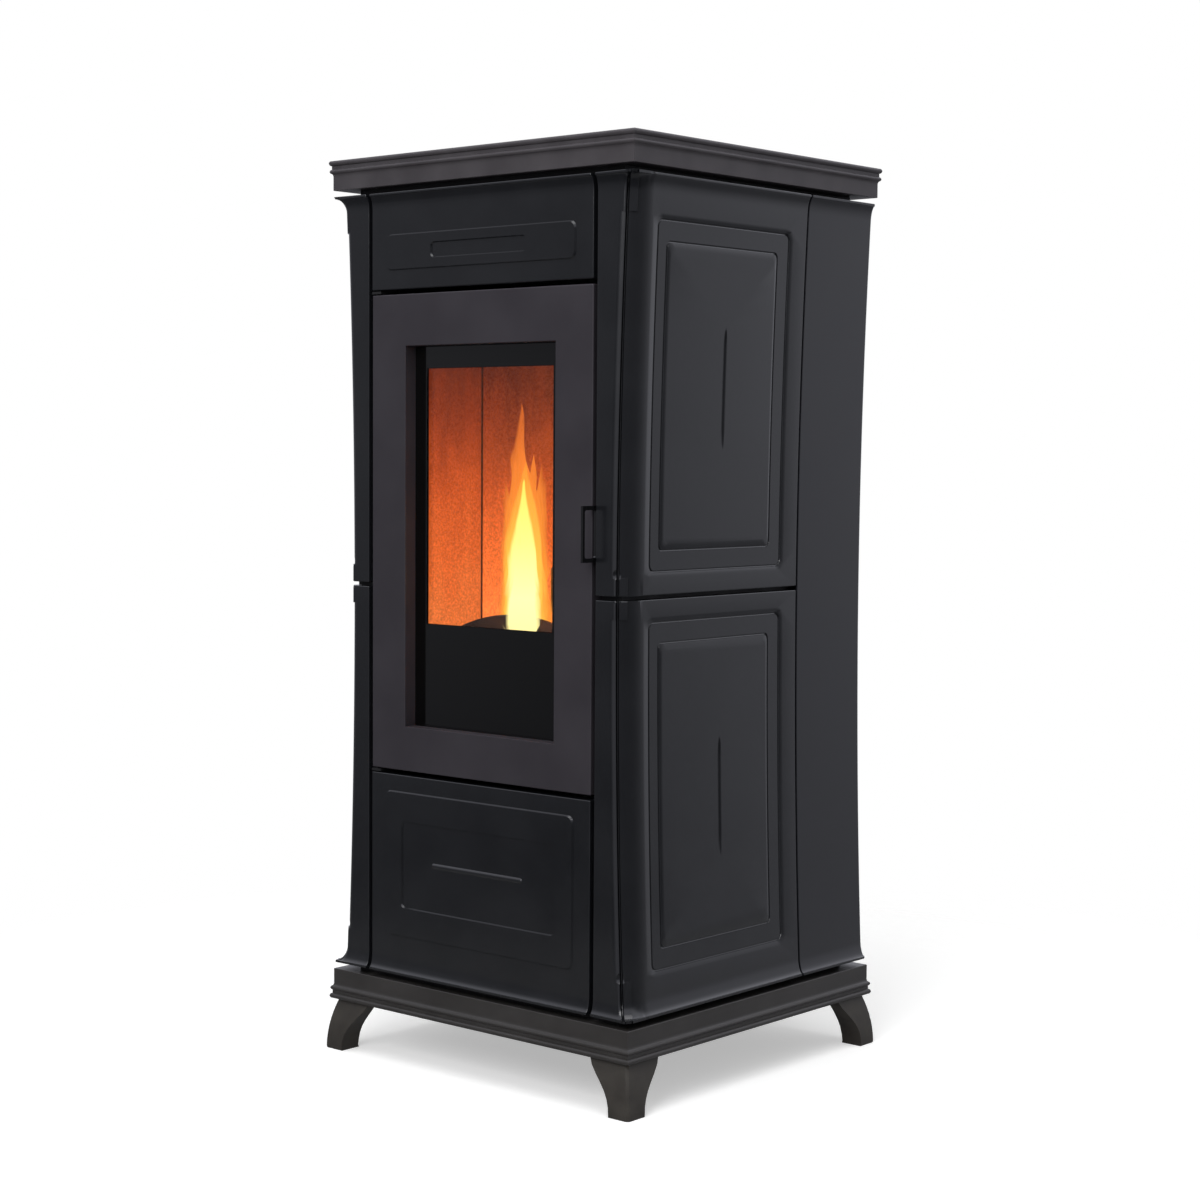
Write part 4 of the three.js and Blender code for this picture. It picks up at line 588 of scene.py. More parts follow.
def lining_material():
    """Pressed vermiculite: brown flakes, with the fire's light painted on as emission, red above
    and orange below.
    """
    material = new_material("Vermiculite board with painted firelight")
    place = node(material, "TexCoord")
    flat, hanging = (
        node(material, "Mapping", {"Scale": scale}, {"Vector": (place, "Object")})
        for scale in (IN_MM, (1 / MM, 1 / MM, 0.3 / MM))
    )
    axes = node(material, "SeparateXYZ", links={"Vector": flat})
    flakes = node(material, "TexVoronoi", {"Scale": 1 / FLAKE}, {"Vector": flat})
    speckle = node(material, "TexNoise", {"Scale": 1 / GRAIN, "Detail": 4.0}, {"Vector": flat})
    tone = node(
        material,
        "ValToRGB",
        links={"Fac": speckle},
        stops=[(0.3, "#3a2615"), (0.55, "#4c331d"), (0.75, "#634528")],
    )
    # The fire's light painted on the boards fades upwards, in uneven streaks.
    level = node(
        material,
        "MapRange",
        {"From Min": GLOW_FADES[0], "From Max": GLOW_FADES[1], "To Min": -0.2, "To Max": 0.84},
        {"Value": (axes, "Z")},
    )
    patchy = node(material, "TexNoise", {"Scale": 1 / STREAK, "Detail": 3.0}, {"Vector": hanging})
    uneven = node(material, "Math", {1: 0.34}, {0: patchy}, operation="MULTIPLY")
    mixed = node(material, "Math", links={0: level, 1: uneven}, operation="ADD")
    glow = node(
        material,
        "ValToRGB",
        links={"Fac": mixed},
        stops=list(zip((0.0, 0.25, 0.5, 0.75, 1.0), GLOW)),
    )
    grains = node(
        material, "ValToRGB", links={"Fac": speckle}, stops=[(0.3, "#b4b4b4"), (0.7, "#ffffff")]
    )
    shaded = node(
        material, "Mix", {0: 0.8}, {6: glow, 7: grains}, data_type="RGBA", blend_type="MULTIPLY"
    )
    # The painted firelight leaves out the open seams between the boards, which stay dark.
    sideways = node(material, "Math", links={0: (axes, "X")}, operation="ABSOLUTE")
    aside = node(material, "Math", {1: SEAM_X}, {0: sideways}, operation="GREATER_THAN")
    behind = node(
        material, "Math", {1: SEAM_Y + BODY_Y / MM}, {0: (axes, "Y")}, operation="GREATER_THAN"
    )
    seam = node(material, "Math", links={0: aside, 1: behind}, operation="MULTIPLY")
    closed = node(material, "MapRange", {"To Min": 1.0, "To Max": 0.03}, {"Value": seam})
    # The back board stands nearest to the fire, and its lower half gets the most painted firelight.
    back_firelight_fade = node(
        material,
        "MapRange",
        {"From Min": BACK_FADES[0], "From Max": BACK_FADES[1], "To Min": 0.5, "To Max": 0.0},
        {"Value": (axes, "Z")},
    )
    back_firelight = node(material, "Math", links={0: back_firelight_fade, 1: behind}, operation="MULTIPLY")
    firelight_on_boards = node(material, "Math", {1: 0.96}, {0: back_firelight}, operation="ADD")
    # The emission's strength is painted firelight, not heat in the boards.
    strength = node(material, "Math", links={0: firelight_on_boards, 1: closed}, operation="MULTIPLY")
    relief = node(material, "Bump", {"Strength": 0.8, "Distance": 0.3 * MM}, {"Height": flakes})
    shader = node(
        material,
        "BsdfPrincipled",
        {"Roughness": 0.9, "Specular IOR Level": 0.1},
        {
            "Base Color": tone,
            "Emission Color": (shaded, 2),
            "Emission Strength": strength,
            "Normal": relief,
        },
    )
    node(material, "OutputMaterial", links={"Surface": shader})
    return material


lining = lining_material()


def glass_material():
    """Clear ceramic glass with a black print baked on round its edges, glossy as the glass is."""
    material = new_material("Printed ceramic glass")
    place = node(material, "TexCoord")
    flat = node(material, "Mapping", {"Scale": IN_MM}, {"Vector": (place, "Object")})
    axes = node(material, "SeparateXYZ", links={"Vector": flat})
    sideways = node(material, "Math", links={0: (axes, "X")}, operation="ABSOLUTE")
    beyond, above, below = (
        node(material, "Math", {1: edge}, {0: source}, operation=test)
        for edge, source, test in (
            (PRINT_SIDE, sideways, "GREATER_THAN"),
            (PRINT_TOP, (axes, "Z"), "GREATER_THAN"),
            (PRINT_BOTTOM, (axes, "Z"), "LESS_THAN"),
        )
    )
    ends = node(material, "Math", links={0: above, 1: below}, operation="MAXIMUM")
    printed = node(material, "Math", links={0: ends, 1: beyond}, operation="MAXIMUM")
    ink = node(
        material,
        "BsdfPrincipled",
        {"Base Color": colour("#060606"), "Roughness": 0.07, "IOR": 1.5, "Specular IOR Level": 0.4},
    )
    # A low IOR keeps the mirror image of the bright studio in the pane faint.
    clear = node(
        material,
        "BsdfPrincipled",
        {
            "Base Color": colour("#fff6ea"),
            "Roughness": 0.0,
            "IOR": 1.18,
            "Transmission Weight": 1.0,
        },
    )
    both = node(material, "MixShader", links={0: printed, 1: clear, 2: ink})
    node(material, "OutputMaterial", links={"Surface": both})
    return material


printed_glass = glass_material()


def flame_material(name, stops, strength, ends, solid, half):
    """Burning gas: brightest in the middle of a tongue, thin at its outline and towards its tip.

    ends are its foot and tip over the fire's foot, solid is how full it is at its foot, and half is
    its half width.
    """
    material = new_material(name)
    place = node(material, "TexCoord")
    flat, drift = (
        node(material, "Mapping", {"Scale": scale}, {"Vector": (place, "Object")})
        for scale in (IN_MM, (1 / MM, 1 / MM, 0.28 / MM))
    )
    axes = node(material, "SeparateXYZ", links={"Vector": flat})
    low, high = (float(FLAME_LOW + end) for end in ends)
    level = node(
        material, "MapRange", {"From Min": low, "From Max": high}, {"Value": (axes, "Z")}
    )
    heat = node(material, "ValToRGB", links={"Fac": level}, stops=stops)
    glow = node(material, "Emission", {"Strength": strength}, {"Color": heat})
    patches = node(
        material,
        "TexNoise",
        {"Scale": 1 / FLAME_PATCH, "Detail": 3.0, "Distortion": 0.6},
        {"Vector": drift},
    )
    # The outline: how far across the fire a point lies, against the flame's half width there.
    across = node(
        material, "VectorMath", {1: (*FACING_ACROSS, 0)}, {0: flat}, operation="DOT_PRODUCT"
    )
    middle_line = FACING_ACROSS[0] * FLAME_X + FACING_ACROSS[1] * (FLAME_Y + BODY_Y / MM)
    centred = node(material, "Math", {1: middle_line}, {0: (across, "Value")}, operation="SUBTRACT")
    offset = node(material, "Math", links={0: centred}, operation="ABSOLUTE")
    width = node(
        material,
        "MapRange",
        {"From Min": 0.55, "To Min": float(half), "To Max": half * 0.1},
        {"Value": level},
        interpolation_type="SMOOTHSTEP",
    )
    share = node(material, "Math", links={0: offset, 1: width}, operation="DIVIDE")
    middle = node(
        material,
        "MapRange",
        {"From Min": 0.25, "From Max": 1.0, "To Min": 0.4, "To Max": -1.0},
        {"Value": share},
        interpolation_type="SMOOTHSTEP",
    )
    thinning = node(
        material, "MapRange", {"To Min": solid, "To Max": solid - 1.05}, {"Value": level}
    )
    cover = node(material, "Math", links={0: patches, 1: thinning}, operation="ADD")
    shaped = node(material, "Math", links={0: cover, 1: middle}, operation="ADD")
    soft = node(material, "MapRange", {"From Min": 0.3, "From Max": 1.05}, {"Value": shaped})
    nothing = node(material, "BsdfTransparent")
    both = node(material, "MixShader", links={0: soft, 1: nothing, 2: glow})
    node(material, "OutputMaterial", links={"Surface": both})
    return material


# ---- The body's waist and coves ----


def cove(z):
    """How far the cove has come out at a level, from 0 in the face to 1 at its tip."""
    above = (z - (TILES_TOP - COVE_TIP - COVE)) / COVE
    below = (TILES_BOTTOM + COVE_TIP + COVE - z) / COVE
    reach = min(max(above, below, 0), 1)
    return 1 - math.sqrt(1 - reach * reach)


def side_shift(z):
    bow = BOW * ((z - WAIST_LEVEL) / BOW_REACH) ** 2
    return bow + (BAND_X - WAIST_X - bow) * cove(z)


def front_shift(z):
    return -(BAND_Y + FRONT) * cove(z)


def bisect_levels(piece, levels):
    """Cuts a piece across at each level, so that it can follow a curve."""
    open_edit(piece, "VERT")
    for z in levels:
        bpy.ops.mesh.select_all(action="SELECT")
        bpy.ops.mesh.bisect(plane_co=(0, 0, z * MM), plane_no=(0, 0, 1))
    close_edit()


def follow_waist(piece, bottom, top, outer_x=TILE_INNER + 3, outer_y=TILE_BACK - 6):
    """Draws a straight piece out to the body's waist and coves, where the corner comes to an arris.

    What lies past outer_x moves sideways, and what lies before outer_y moves forwards.
    """
    levels = [bottom + (top - bottom) * k / SLICES for k in range(1, SLICES)]
    for tip, way in ((TILES_BOTTOM + COVE_TIP, 1), (TILES_TOP - COVE_TIP, -1)):
        if bottom - 1 < tip < top + 1:
            turns = [math.radians(90 / COVE_TURNS * k) for k in range(COVE_TURNS + 1)]
            levels += [tip + way * COVE * (1 - math.sin(a)) for a in turns]
    bisect_levels(piece, sorted(z for z in levels if bottom + 1.5 < z < top - 1.5))
    for vertex in piece.data.vertices:
        x, y, z = vertex.co.x / MM, (vertex.co.y - BODY_Y) / MM, vertex.co.z / MM
        aside, behind = WAIST_X - x, y - FRONT
        if outer_x < x and aside < CORNER_AREA[0] and behind < CORNER_AREA[1]:
            fill = max(min(aside, behind), 0) * cove(z)
            vertex.co += Vector((fill, -fill, 0)) * MM
        if x > outer_x:
            vertex.co.x += side_shift(z) * MM
        if y < outer_y or (x > outer_x and behind < FRONT_DEPTH):
            vertex.co.y += front_shift(z) * MM


def rounded_loop(across, up, face, radius, bore):
    """A tube along a rounded rectangle in a side face, to cut a groove with."""
    clear_selection()
    bpy.ops.mesh.primitive_plane_add(
        size=1,
        location=at(face, (across[0] + across[1]) / 2, (up[0] + up[1]) / 2),
        rotation=(math.pi / 2, 0, math.pi / 2),
    )
    loop = bpy.context.object
    loop.scale = ((across[1] - across[0]) * MM, (up[1] - up[0]) * MM, 1)
    settle(loop)
    open_edit(loop, "VERT")
    bpy.ops.mesh.select_all(action="SELECT")
    bpy.ops.mesh.bevel(offset=radius * MM, segments=5, affect="VERTICES")
    bpy.ops.mesh.select_all(action="SELECT")
    bpy.ops.mesh.delete(type="ONLY_FACE")
    close_edit()
    bpy.ops.object.convert(target="CURVE")
    loop = bpy.context.object
    loop.data.bevel_depth = bore * MM
    loop.data.bevel_resolution = 2
    bpy.ops.object.convert(target="MESH")
    return bpy.context.object


def line_tool(reach, across, middle, face):
    """A long spindle that sinks the upright line in a side tile."""
    axis = face + LINE_OUT
    tool = bar(LINE_BORE, (axis, across, middle - reach), (axis, across, middle + reach), 20)
    taper = [reach - LINE_TAPER * (1 - k / 6) for k in range(7)]
    bisect_levels(tool, [middle + side * (step - 0.01) for side in (-1, 1) for step in taper])
    x, y = axis * MM, at(0, across, 0).y
    for vertex in tool.data.vertices:
        past = max(abs(vertex.co.z / MM - middle) - (reach - LINE_TAPER), 0) / LINE_TAPER
        slim = max(1 - past**2.2, 0.05)
        vertex.co.x = x + (vertex.co.x - x) * slim
        vertex.co.y = y + (vertex.co.y - y) * slim
    return tool


def sloped_slab(x, y, z, radius, slopes, small_end, plane="X"):
    """A slab with rounded corners whose rim slopes in towards its low (-1) or high (1) face.

    slopes are the rim's widths at the near side, at the far side and at the top and bottom.
    """
    slab = block(x, y, z)
    axis = "XYZ".index(plane)
    bevel_edges(slab, radius, 5, lambda middle, way: abs(way[axis]) > 0.9)
    across = y if plane == "X" else x
    near, far, ends = slopes
    share = (near + far) / (across[1] - across[0])
    centre = across[0] + near / share
    size = (1, 1 - share, 1 - 2 * ends / (z[1] - z[0]))
    level = (z[0] + z[1]) / 2
    open_edit(slab, "FACE")
    pick_faces(slab, lambda middle, normal: normal[axis] * small_end > 0.9)
    bpy.ops.transform.resize(
        value=size if plane == "X" else (size[1], 1, size[2]),
        center_override=at(0, centre, level) if plane == "X" else at(centre, 0, level),
    )
    close_edit()
    return slab


def scoop_tool(x, y, z):
    """A ball that hollows the head of a stop, so that it faces up."""
    clear_selection()
    bpy.ops.mesh.primitive_uv_sphere_add(
        segments=32, ring_count=24, radius=SCOOP * MM, location=at(x, y, z)
    )
    return settle(bpy.context.object)


def side_tile(bottom, top):
    """A corner tile: front strip, rounded corner with its stops, and panelled side, in one."""
    tile = block((STRIP_X, WAIST_X), (FRONT, SIDE_END), (bottom, top))
    carve(tile, block((STRIP_X - 2, TILE_INNER), (TILE_BACK, SIDE_END + 2), (bottom - 2, top + 2)))
    bevel_edges(
        tile,
        CORNER_CUT,
        1,
        lambda middle, way: abs(way.z) > 0.9 and middle.x > WAIST_X - 1 and middle.y < FRONT + 1,
    )
    bevel_edges(tile, TILE_ROUND, 3)
    # The clay is thinner behind the panel than round it.
    thinner = (TILE_INNER - 2, WAIST_X - TILE_WALL)
    carve(tile, block(thinner, (TILE_BACK + 22, SIDE_END - 20), (bottom + 30, top - 30)))

    # The reed: a broad round behind the dark quirk, between two stops that keep the plain cut.
    low = bottom + (COVE_LEDGE if bottom == TILES_BOTTOM else LEDGE)
    high = top - (COVE_LEDGE if top == TILES_TOP else LEDGE)
    start, turn = WAIST_X - REED_START, FRONT + CORNER_CUT
    wide, deep = REED_ROUND
    centre = (WAIST_X - wide, FRONT + deep)
    for x, y, z in (
        ((start, WAIST_X + 3), (FRONT - 3, turn), (low, high)),
        ((WAIST_X - 8, WAIST_X + 3), (turn - 0.2, centre[1]), (bottom - 1, top + 1)),
    ):
        spared = bar(deep, (*centre, z[0] - 5), (*centre, z[1] + 5), 128)
        for vertex in spared.data.vertices:
            vertex.co.x = (centre[0] + (vertex.co.x / MM - centre[0]) * wide / deep) * MM
        carve(tile, carve(block(x, y, z), spared))
    bevel_edges(
        tile,
        STOP_ROUND,
        5,
        lambda middle, way: (abs(middle.z - low) < 0.1 or abs(middle.z - high) < 0.1)
        and abs(way.z) < 0.1
        and abs((WAIST_X - middle.x) + (middle.y - FRONT) - CORNER_CUT) < 0.4
        and start + 2 < middle.x < WAIST_X - 1,
    )
    # Two slots of overlapping bores: the quirk, slanting in before the reed, and a finer one beside
    # it. Balls then hollow the head of the lower stop and the tile's own top.
    (x, y), (inwards, back) = QUIRK_PLACE, QUIRK_STEP
    quirk = [(start + x - inwards * k, FRONT + y + back * k) for k in range(4)]
    (x, y), step = ARRIS_PLACE, ARRIS_STEP
    arris = [(WAIST_X - x - step * k, turn - y + step * k) for k in range(2)]
    carve(
        tile,
        *[bar(QUIRK_BORE, (*point, bottom - 1), (*point, top + 1), 16) for point in quirk],
        *[bar(ARRIS_BORE, (*point, bottom - 1), (*point, top + 1), 12) for point in arris],
        *[scoop_tool(start + HEAD_PLACE[0], FRONT - 1, z + HEAD_PLACE[1]) for z in (low, top)],
    )

    # The panel: a sunken band round a raised field, each with a fine groove at its foot.
    under, over = (COVE_MARGIN, MARGIN) if bottom == TILES_BOTTOM else (MARGIN, COVE_MARGIN)
    band = (PANEL_Y, (bottom + under, top - over))
    field = (FIELD_Y, (bottom + under + FIELD_INSET, top - over - FIELD_INSET))
    sunk = WAIST_X - SINK
    near, far, ends = PANEL_RIMS
    carve(tile, sloped_slab((sunk, WAIST_X + 0.3), *band, PANEL_CORNER, PANEL_RIMS, -1))
    wider = [(a - FIELD_SPREAD, b + FIELD_SPREAD) for a, b in field]
    raised = sloped_slab((sunk - 1.2, WAIST_X - 0.2), *wider, FIELD_CORNER, FIELD_SLOPES, 1)
    carve(tile, raised, how="UNION")
    (y_near, y_far), (z_low, z_high) = band
    spread, *rim_tube = RIM_GROOVE
    rim = (
        (y_near + near + spread, y_far - far - spread),
        (z_low + ends + spread, z_high - ends - spread),
    )
    spread, *foot_tube = FOOT_GROOVE
    foot = [(a - spread, b + spread) for a, b in field]
    carve(
        tile,
        rounded_loop(*rim, sunk + 0.3, *rim_tube),
        rounded_loop(*foot, sunk + 0.3, *foot_tube),
        line_tool((top - bottom) * LINE_SHARE, LINE_Y, (bottom + top) / 2, WAIST_X - 0.2),
    )
    follow_waist(tile, bottom, top)
    return tile


def front_tile(bottom, top, middle, outer, inner, line=None):
    """A flat front tile with a raised frame about a middle level, and two ribs behind.

    outer and inner are the frame's half widths and half heights. line is the half length of a
    raised bar and its height over the middle.
    """
    tile = block((-DOOR_X, DOOR_X), (FRONT, TILE_BACK), (bottom, top))
    bevel_edges(tile, TILE_ROUND, 3)
    face = FRONT - FRAME_RISE
    raised, hollow = (
        sloped_slab((-x, x), y, (middle - z, middle + z), radius, (FRAME_SLOPE,) * 3, end, "Y")
        for (x, z), y, radius, end in (
            (outer, (face, FRONT + 4), FRAME_CORNERS[0], -1),
            (inner, (face - 0.2, FRONT + 5), FRAME_CORNERS[1], 1),
        )
    )
    carve(tile, carve(raised, hollow), how="UNION")
    if line:
        reach, y, z = line[0], FRONT + 2.4, middle + line[1]
        raised_bar = bar(LINE_RADIUS, (-reach, y, z), (reach, y, z), 12)
        bevel_edges(raised_bar, LINE_RADIUS * 0.9, 3, lambda middle, way: abs(way.x) < 0.5)
        carve(tile, raised_bar, how="UNION")
    for side in (-1, 1):
        x = side * (DOOR_X - RIB_INSET)
        across = (x - RIB_HALF, x + RIB_HALF)
        rib = block(across, (TILE_BACK - 1, RIB_BACK), (bottom + 6, top - 6))
        carve(tile, rib, how="UNION")
    follow_waist(tile, bottom, top, outer_x=math.inf)
    return tile


def rear_panel():
    """The folded rear side panel, which carries the tiles' profile round to the back."""
    panel = block((REAR_INNER, WAIST_X), (SIDE_END + 2.5, REAR), (TILES_BOTTOM, TILES_TOP))
    bevel_edges(
        panel,
        REAR_FOLD,
        5,
        lambda middle, way: abs(way.z) > 0.9 and middle.x > WAIST_X - 1 and middle.y > REAR - 1,
    )
    inside = (190, WAIST_X - SHEET), (SIDE_END, REAR - SHEET)
    carve(panel, block(*inside, (TILES_BOTTOM - 2, TILES_TOP + 2)))
    soften(panel, 0.8, 2, 50)
    follow_waist(panel, TILES_BOTTOM, TILES_TOP, outer_x=222, outer_y=-math.inf)
    return panel


side_upper = side_tile(JOINT_HIGH, TILES_TOP)
side_lower = side_tile(TILES_BOTTOM, JOINT_LOW)
for panel, side in both_sides(rear_panel()):
    put(
        panel, f"rear_side_panel_{side}", side_paint, replaces=[f"rear_panel_{side}"]
    )
for piece, level in ((side_upper, "upper"), (side_lower, "lower")):
    for tile, side in both_sides(piece):
        node_name = f"side_tile_{side}_{level}"
        put(tile, f"glazed_{node_name}", glaze, replaces=[node_name])

# Black sheets and strips close the gaps between the tiles, the plinth and the plate, painting in
# the shade of those gaps.
for name, low, high in (
    ("lower_gap_shade_frame", PLINTH_TOP, TILES_BOTTOM),
    ("upper_gap_shade_frame", TILES_TOP, PLATE_BOTTOM),
):
    gap_shade, inside = (
        block((by - GAP_SHADE_X, GAP_SHADE_X - by), (by - GAP_SHADE_Y, GAP_SHADE_Y - by), (low - up, high + up))
        for by, up in ((0, 0), (GAP_SHADE_SHEET, 1))
    )
    carve(gap_shade, inside)
    put(gap_shade, name, stove_black)
# The strips behind the side joints are painted shade too: they keep the joints dark.
joint = (JOINT_LOW + JOINT_PLAY, JOINT_HIGH - JOINT_PLAY)
joint_shade_strip = joined(
    block((TILE_INNER, JOINT_SHADE_X), (TILE_BACK, SIDE_END - 2), joint),
    block((STRIP_X + 1, JOINT_SHADE_X), (TILE_BACK - 6, TILE_BACK - 0.1), joint),
)
for strip, side in both_sides(joint_shade_strip):
    put(strip, f"tile_joint_shade_strip_{side}", stove_black)

for level, low, high, middle, shape in (
    ("upper", UPPER_TILE_LOW, TILES_TOP, UPPER_MIDDLE, UPPER_FRAME),
    ("lower", TILES_BOTTOM, LOWER_TILE_HIGH, LOWER_MIDDLE, (*LOWER_FRAME, LOWER_LINE)),
):
    name = f"front_tile_{level}"
    tile = front_tile(low, high, middle, *shape)
    put(tile, f"glazed_{name}", glaze, replaces=[name])


# ---- Top plate and plinth ----


def quadratic(a, b, c, steps=6):
    """Points along a quadratic curve, without its first."""
    return [
        tuple((1 - t) ** 2 * p + 2 * t * (1 - t) * q + t * t * r for p, q, r in zip(a, b, c))
        for t in (k / steps for k in range(1, steps + 1))
    ]


def moulding(thickness):
    """The moulded edge as (inset, distance from the lip's end), from the lip to the flat band."""
    path = [(1.4, 0), *quadratic((1.4, 0), (-1.2, 2.9), (1.4, 5.8))]
    path += [(2.9, 6.4), (2.9, 10.6), (1.9, 11.2)]
    path += quadratic((1.9, 11.2), (-0.2, 13.5), (1.9, 15.8))
    path += quadratic((1.9, 15.8), (BAND_INSET, 16.4), (BAND_INSET, 20.4))
    return [*path, (BAND_INSET, thickness - 0.5), (BAND_INSET + 0.5, thickness)]


def moulded_slab(lip, band):
    """A slab extruded upwards, one step for each line of the moulding between its lip and band."""
    way = 1 if band > lip else -1
    steps = [(inset, lip + way * reach) for inset, reach in moulding(abs(band - lip))]
    steps = steps if way > 0 else steps[::-1]
    inset, z = steps[0]
    x, y = HALF_WIDTH - inset, HALF_DEPTH - inset
    slab = block((-x, x), (-y, y), (z - 0.01, z))
    open_edit(slab, "FACE")
    pick_faces(slab, lambda middle, normal: normal.z > 0.9)
    for next_inset, next_z in steps[1:]:
        grow = ((HALF_WIDTH - next_inset) / x, (HALF_DEPTH - next_inset) / y, 1)
        bpy.ops.mesh.extrude_region_move(
            TRANSFORM_OT_translate={"value": (0, 0, (next_z - z) * MM)}
        )
        bpy.ops.transform.resize(value=grow, center_override=at(0, 0, next_z))
        x, y, z = HALF_WIDTH - next_inset, HALF_DEPTH - next_inset, next_z
    close_edit()
    return slab


top_plate = moulded_slab(HEIGHT, PLATE_BOTTOM)
carve(
    top_plate,
    block(*HOLLOW, (PLATE_BOTTOM - PAST, HEIGHT - PLATE_SKIN)),
    block(*LID_OPENING),
    block(*PANEL_RECESS),
    *[block((x - LUG_HALF, x + LUG_HALF), *LUG_SLOT) for x in (-LUG_X, LUG_X)],
)
scoop = block(*FINGER_SCOOP)
bevel_edges(scoop, 5, 4, lambda middle, way: middle.z < HEIGHT - 10 and abs(way.z) < 0.1)
carve(top_plate, scoop)
soften(top_plate, 0.5, 2, 60)
put(top_plate, "moulded_top_plate", enamel, "stove", ["top_plate"], 28)

plinth = moulded_slab(PLINTH_BOTTOM, PLINTH_TOP)
carve(plinth, block(*HOLLOW, (PLINTH_BOTTOM - PAST, PLINTH_TOP - PLINTH_SKIN)))
put(plinth, "moulded_plinth", shaded_plinth_enamel, "stove", ["base_plinth"], 28)

for side in ("front_right", "front_left", "rear_right", "rear_left"):
    name = f"leg_{side}"
    leg = from_frame(name, 1.2, 3, 30)
    put(leg, f"flared_{name}", leg_enamel, "stove", [name], 45)

lid = from_frame("hopper_lid", 0.6)
put(lid, "hinged_hopper_lid", enamel, "lid", ["hopper_lid"])


# ---- Door ----

door = block((-DOOR_X, DOOR_X), (DOOR_FRONT, DOOR_BACK), (DOOR_LOW, DOOR_HIGH))
bevel_edges(door, DOOR_ROUND, 4)
window, rebate = (
    block((-WINDOW_X - by, WINDOW_X + by), y, (WINDOW_LOW - by, WINDOW_HIGH + by))
    for by, y in (
        (0, (DOOR_FRONT - PAST, DOOR_BACK + PAST)),
        (REBATE, (GLASS_FRONT - GLASS_PLAY, DOOR_BACK + PAST)),
    )
)
carve(door, window, rebate)
bevel_edges(
    door,
    WINDOW_ROUND,
    3,
    lambda middle, way: middle.y < DOOR_FRONT + 0.5
    and abs(middle.x) <= WINDOW_X + 0.5
    and WINDOW_LOW - 0.5 <= middle.z <= WINDOW_HIGH + 0.5,
)
# The seal's groove, and the bores of the two hinge pins and the handle's pin.
seal_groove = carve(
    block(SEAL_OUTSIDE[0], (DOOR_BACK - PAST, DOOR_BACK + PAST), SEAL_OUTSIDE[1]),
    block(SEAL_INSIDE[0], (DOOR_BACK - 9, DOOR_BACK + 9), SEAL_INSIDE[1]),
)
carve(
    door,
    seal_groove,
    *[
        bar(HINGE_BORE, (*HINGE_PIN, start), (*HINGE_PIN, end), PIN_SIDES)
        for start, end in (
            (DOOR_HIGH - HINGE_DEPTH, DOOR_HIGH + PAST),
            (DOOR_LOW - PAST, DOOR_LOW + HINGE_DEPTH),
        )
    ],
    bar(HANDLE_BORE, (DOOR_X - HANDLE_DEPTH, *HANDLE_PIN), (DOOR_X + PAST, *HANDLE_PIN), PIN_SIDES),
)
put(door, "painted_door_frame", door_paint, "door", ["door_frame"], 30)

handle = from_frame("door_handle", 0.7, 3)
put(handle, "bail_handle", handle_black, "handle", ["door_handle"])

# ---- CAD nodes that keep their shape ----

for material, names in (
    (printed_glass, ("door_glass",)),
    (rope, ("door_gasket",)),
    (stove_black, ("glass_retainer", "hinge_upper", "hinge_lower")),
    (stove_black, ("chassis_right", "chassis_left")),
    (side_paint, ("back_panel",)),
    (lining, ("liner_right", "liner_left", "liner_back", "flame_baffle")),
    (grey_iron, ("firebox", "hearth", "burn_pot")),
    (heater_ceramic, ("igniter",)),
    (bright, ("handle_pin", "latch_keeper", "lid_hinge_pin", "hopper_grate")),
    (bright, ("auger_screw", "smoke_fan_impeller")),
    (zinc, ("ash_drawer", "hopper", "auger_tube", "smoke_box")),
    (zinc, ("flue_spigot", "air_intake", "blower_housing")),
    (cast_aluminium, ("auger_motor", "smoke_fan_housing", "smoke_fan_motor")),
    (cast_aluminium, ("blower_drum", "blower_motor")),
    (black_plastic, ("control_panel", "power_inlet", "power_rocker")),
    (circuit_board, ("control_board",)),
    (grey_plastic, ("button_down", "button_up", "button_menu", "button_power")),
):
    for name in names:
        nodes[name].data.materials.clear()
        nodes[name].data.materials.append(material)

# ---- Fire ----


def in_fire(across, step):
    """A place in the fire: a way to the right across it and a step out of it, as (x, y)."""
    x = FLAME_X + FACING_ACROSS[0] * across + FACING_ACROSS[1] * step
    return x, FLAME_Y + FACING_ACROSS[1] * across - FACING_ACROSS[0] * step


def tongue(x, y, low, height, width, lean, seed):
    """One tongue of flame: a ball drawn up to a bent point, rippled in two wave lengths."""
    clear_selection()
    bpy.ops.mesh.primitive_uv_sphere_add(segments=24, ring_count=36, radius=1, location=(0, 0, 0))
    flame = bpy.context.object
    drift = random.Random(seed)
    phase = drift.uniform(0, 6.28)
    for vertex in flame.data.vertices:
        rise = (vertex.co.z + 1) / 2
        slim = width * min(rise / 0.12, 1) ** 0.5 * (1 - rise**2.3) ** 1.05
        out = math.hypot(vertex.co.x, vertex.co.y)
        ripple = 4 * math.sin(6 * rise + phase) + 2 * math.sin(15 * rise + 2 * phase)
        sway = lean * rise**1.5 + ripple * rise
        spread = 1 + 0.16 * math.sin(8 * rise + phase) + 0.08 * math.sin(19 * rise + 3 * phase)
        dx, dy = (vertex.co.x / out, vertex.co.y / out) if out > 1e-5 else (0, 0)
        aside = dx * slim * spread + sway
        vertex.co = at(x + aside, y + dy * slim * 0.6, low + height * rise)
    return flame


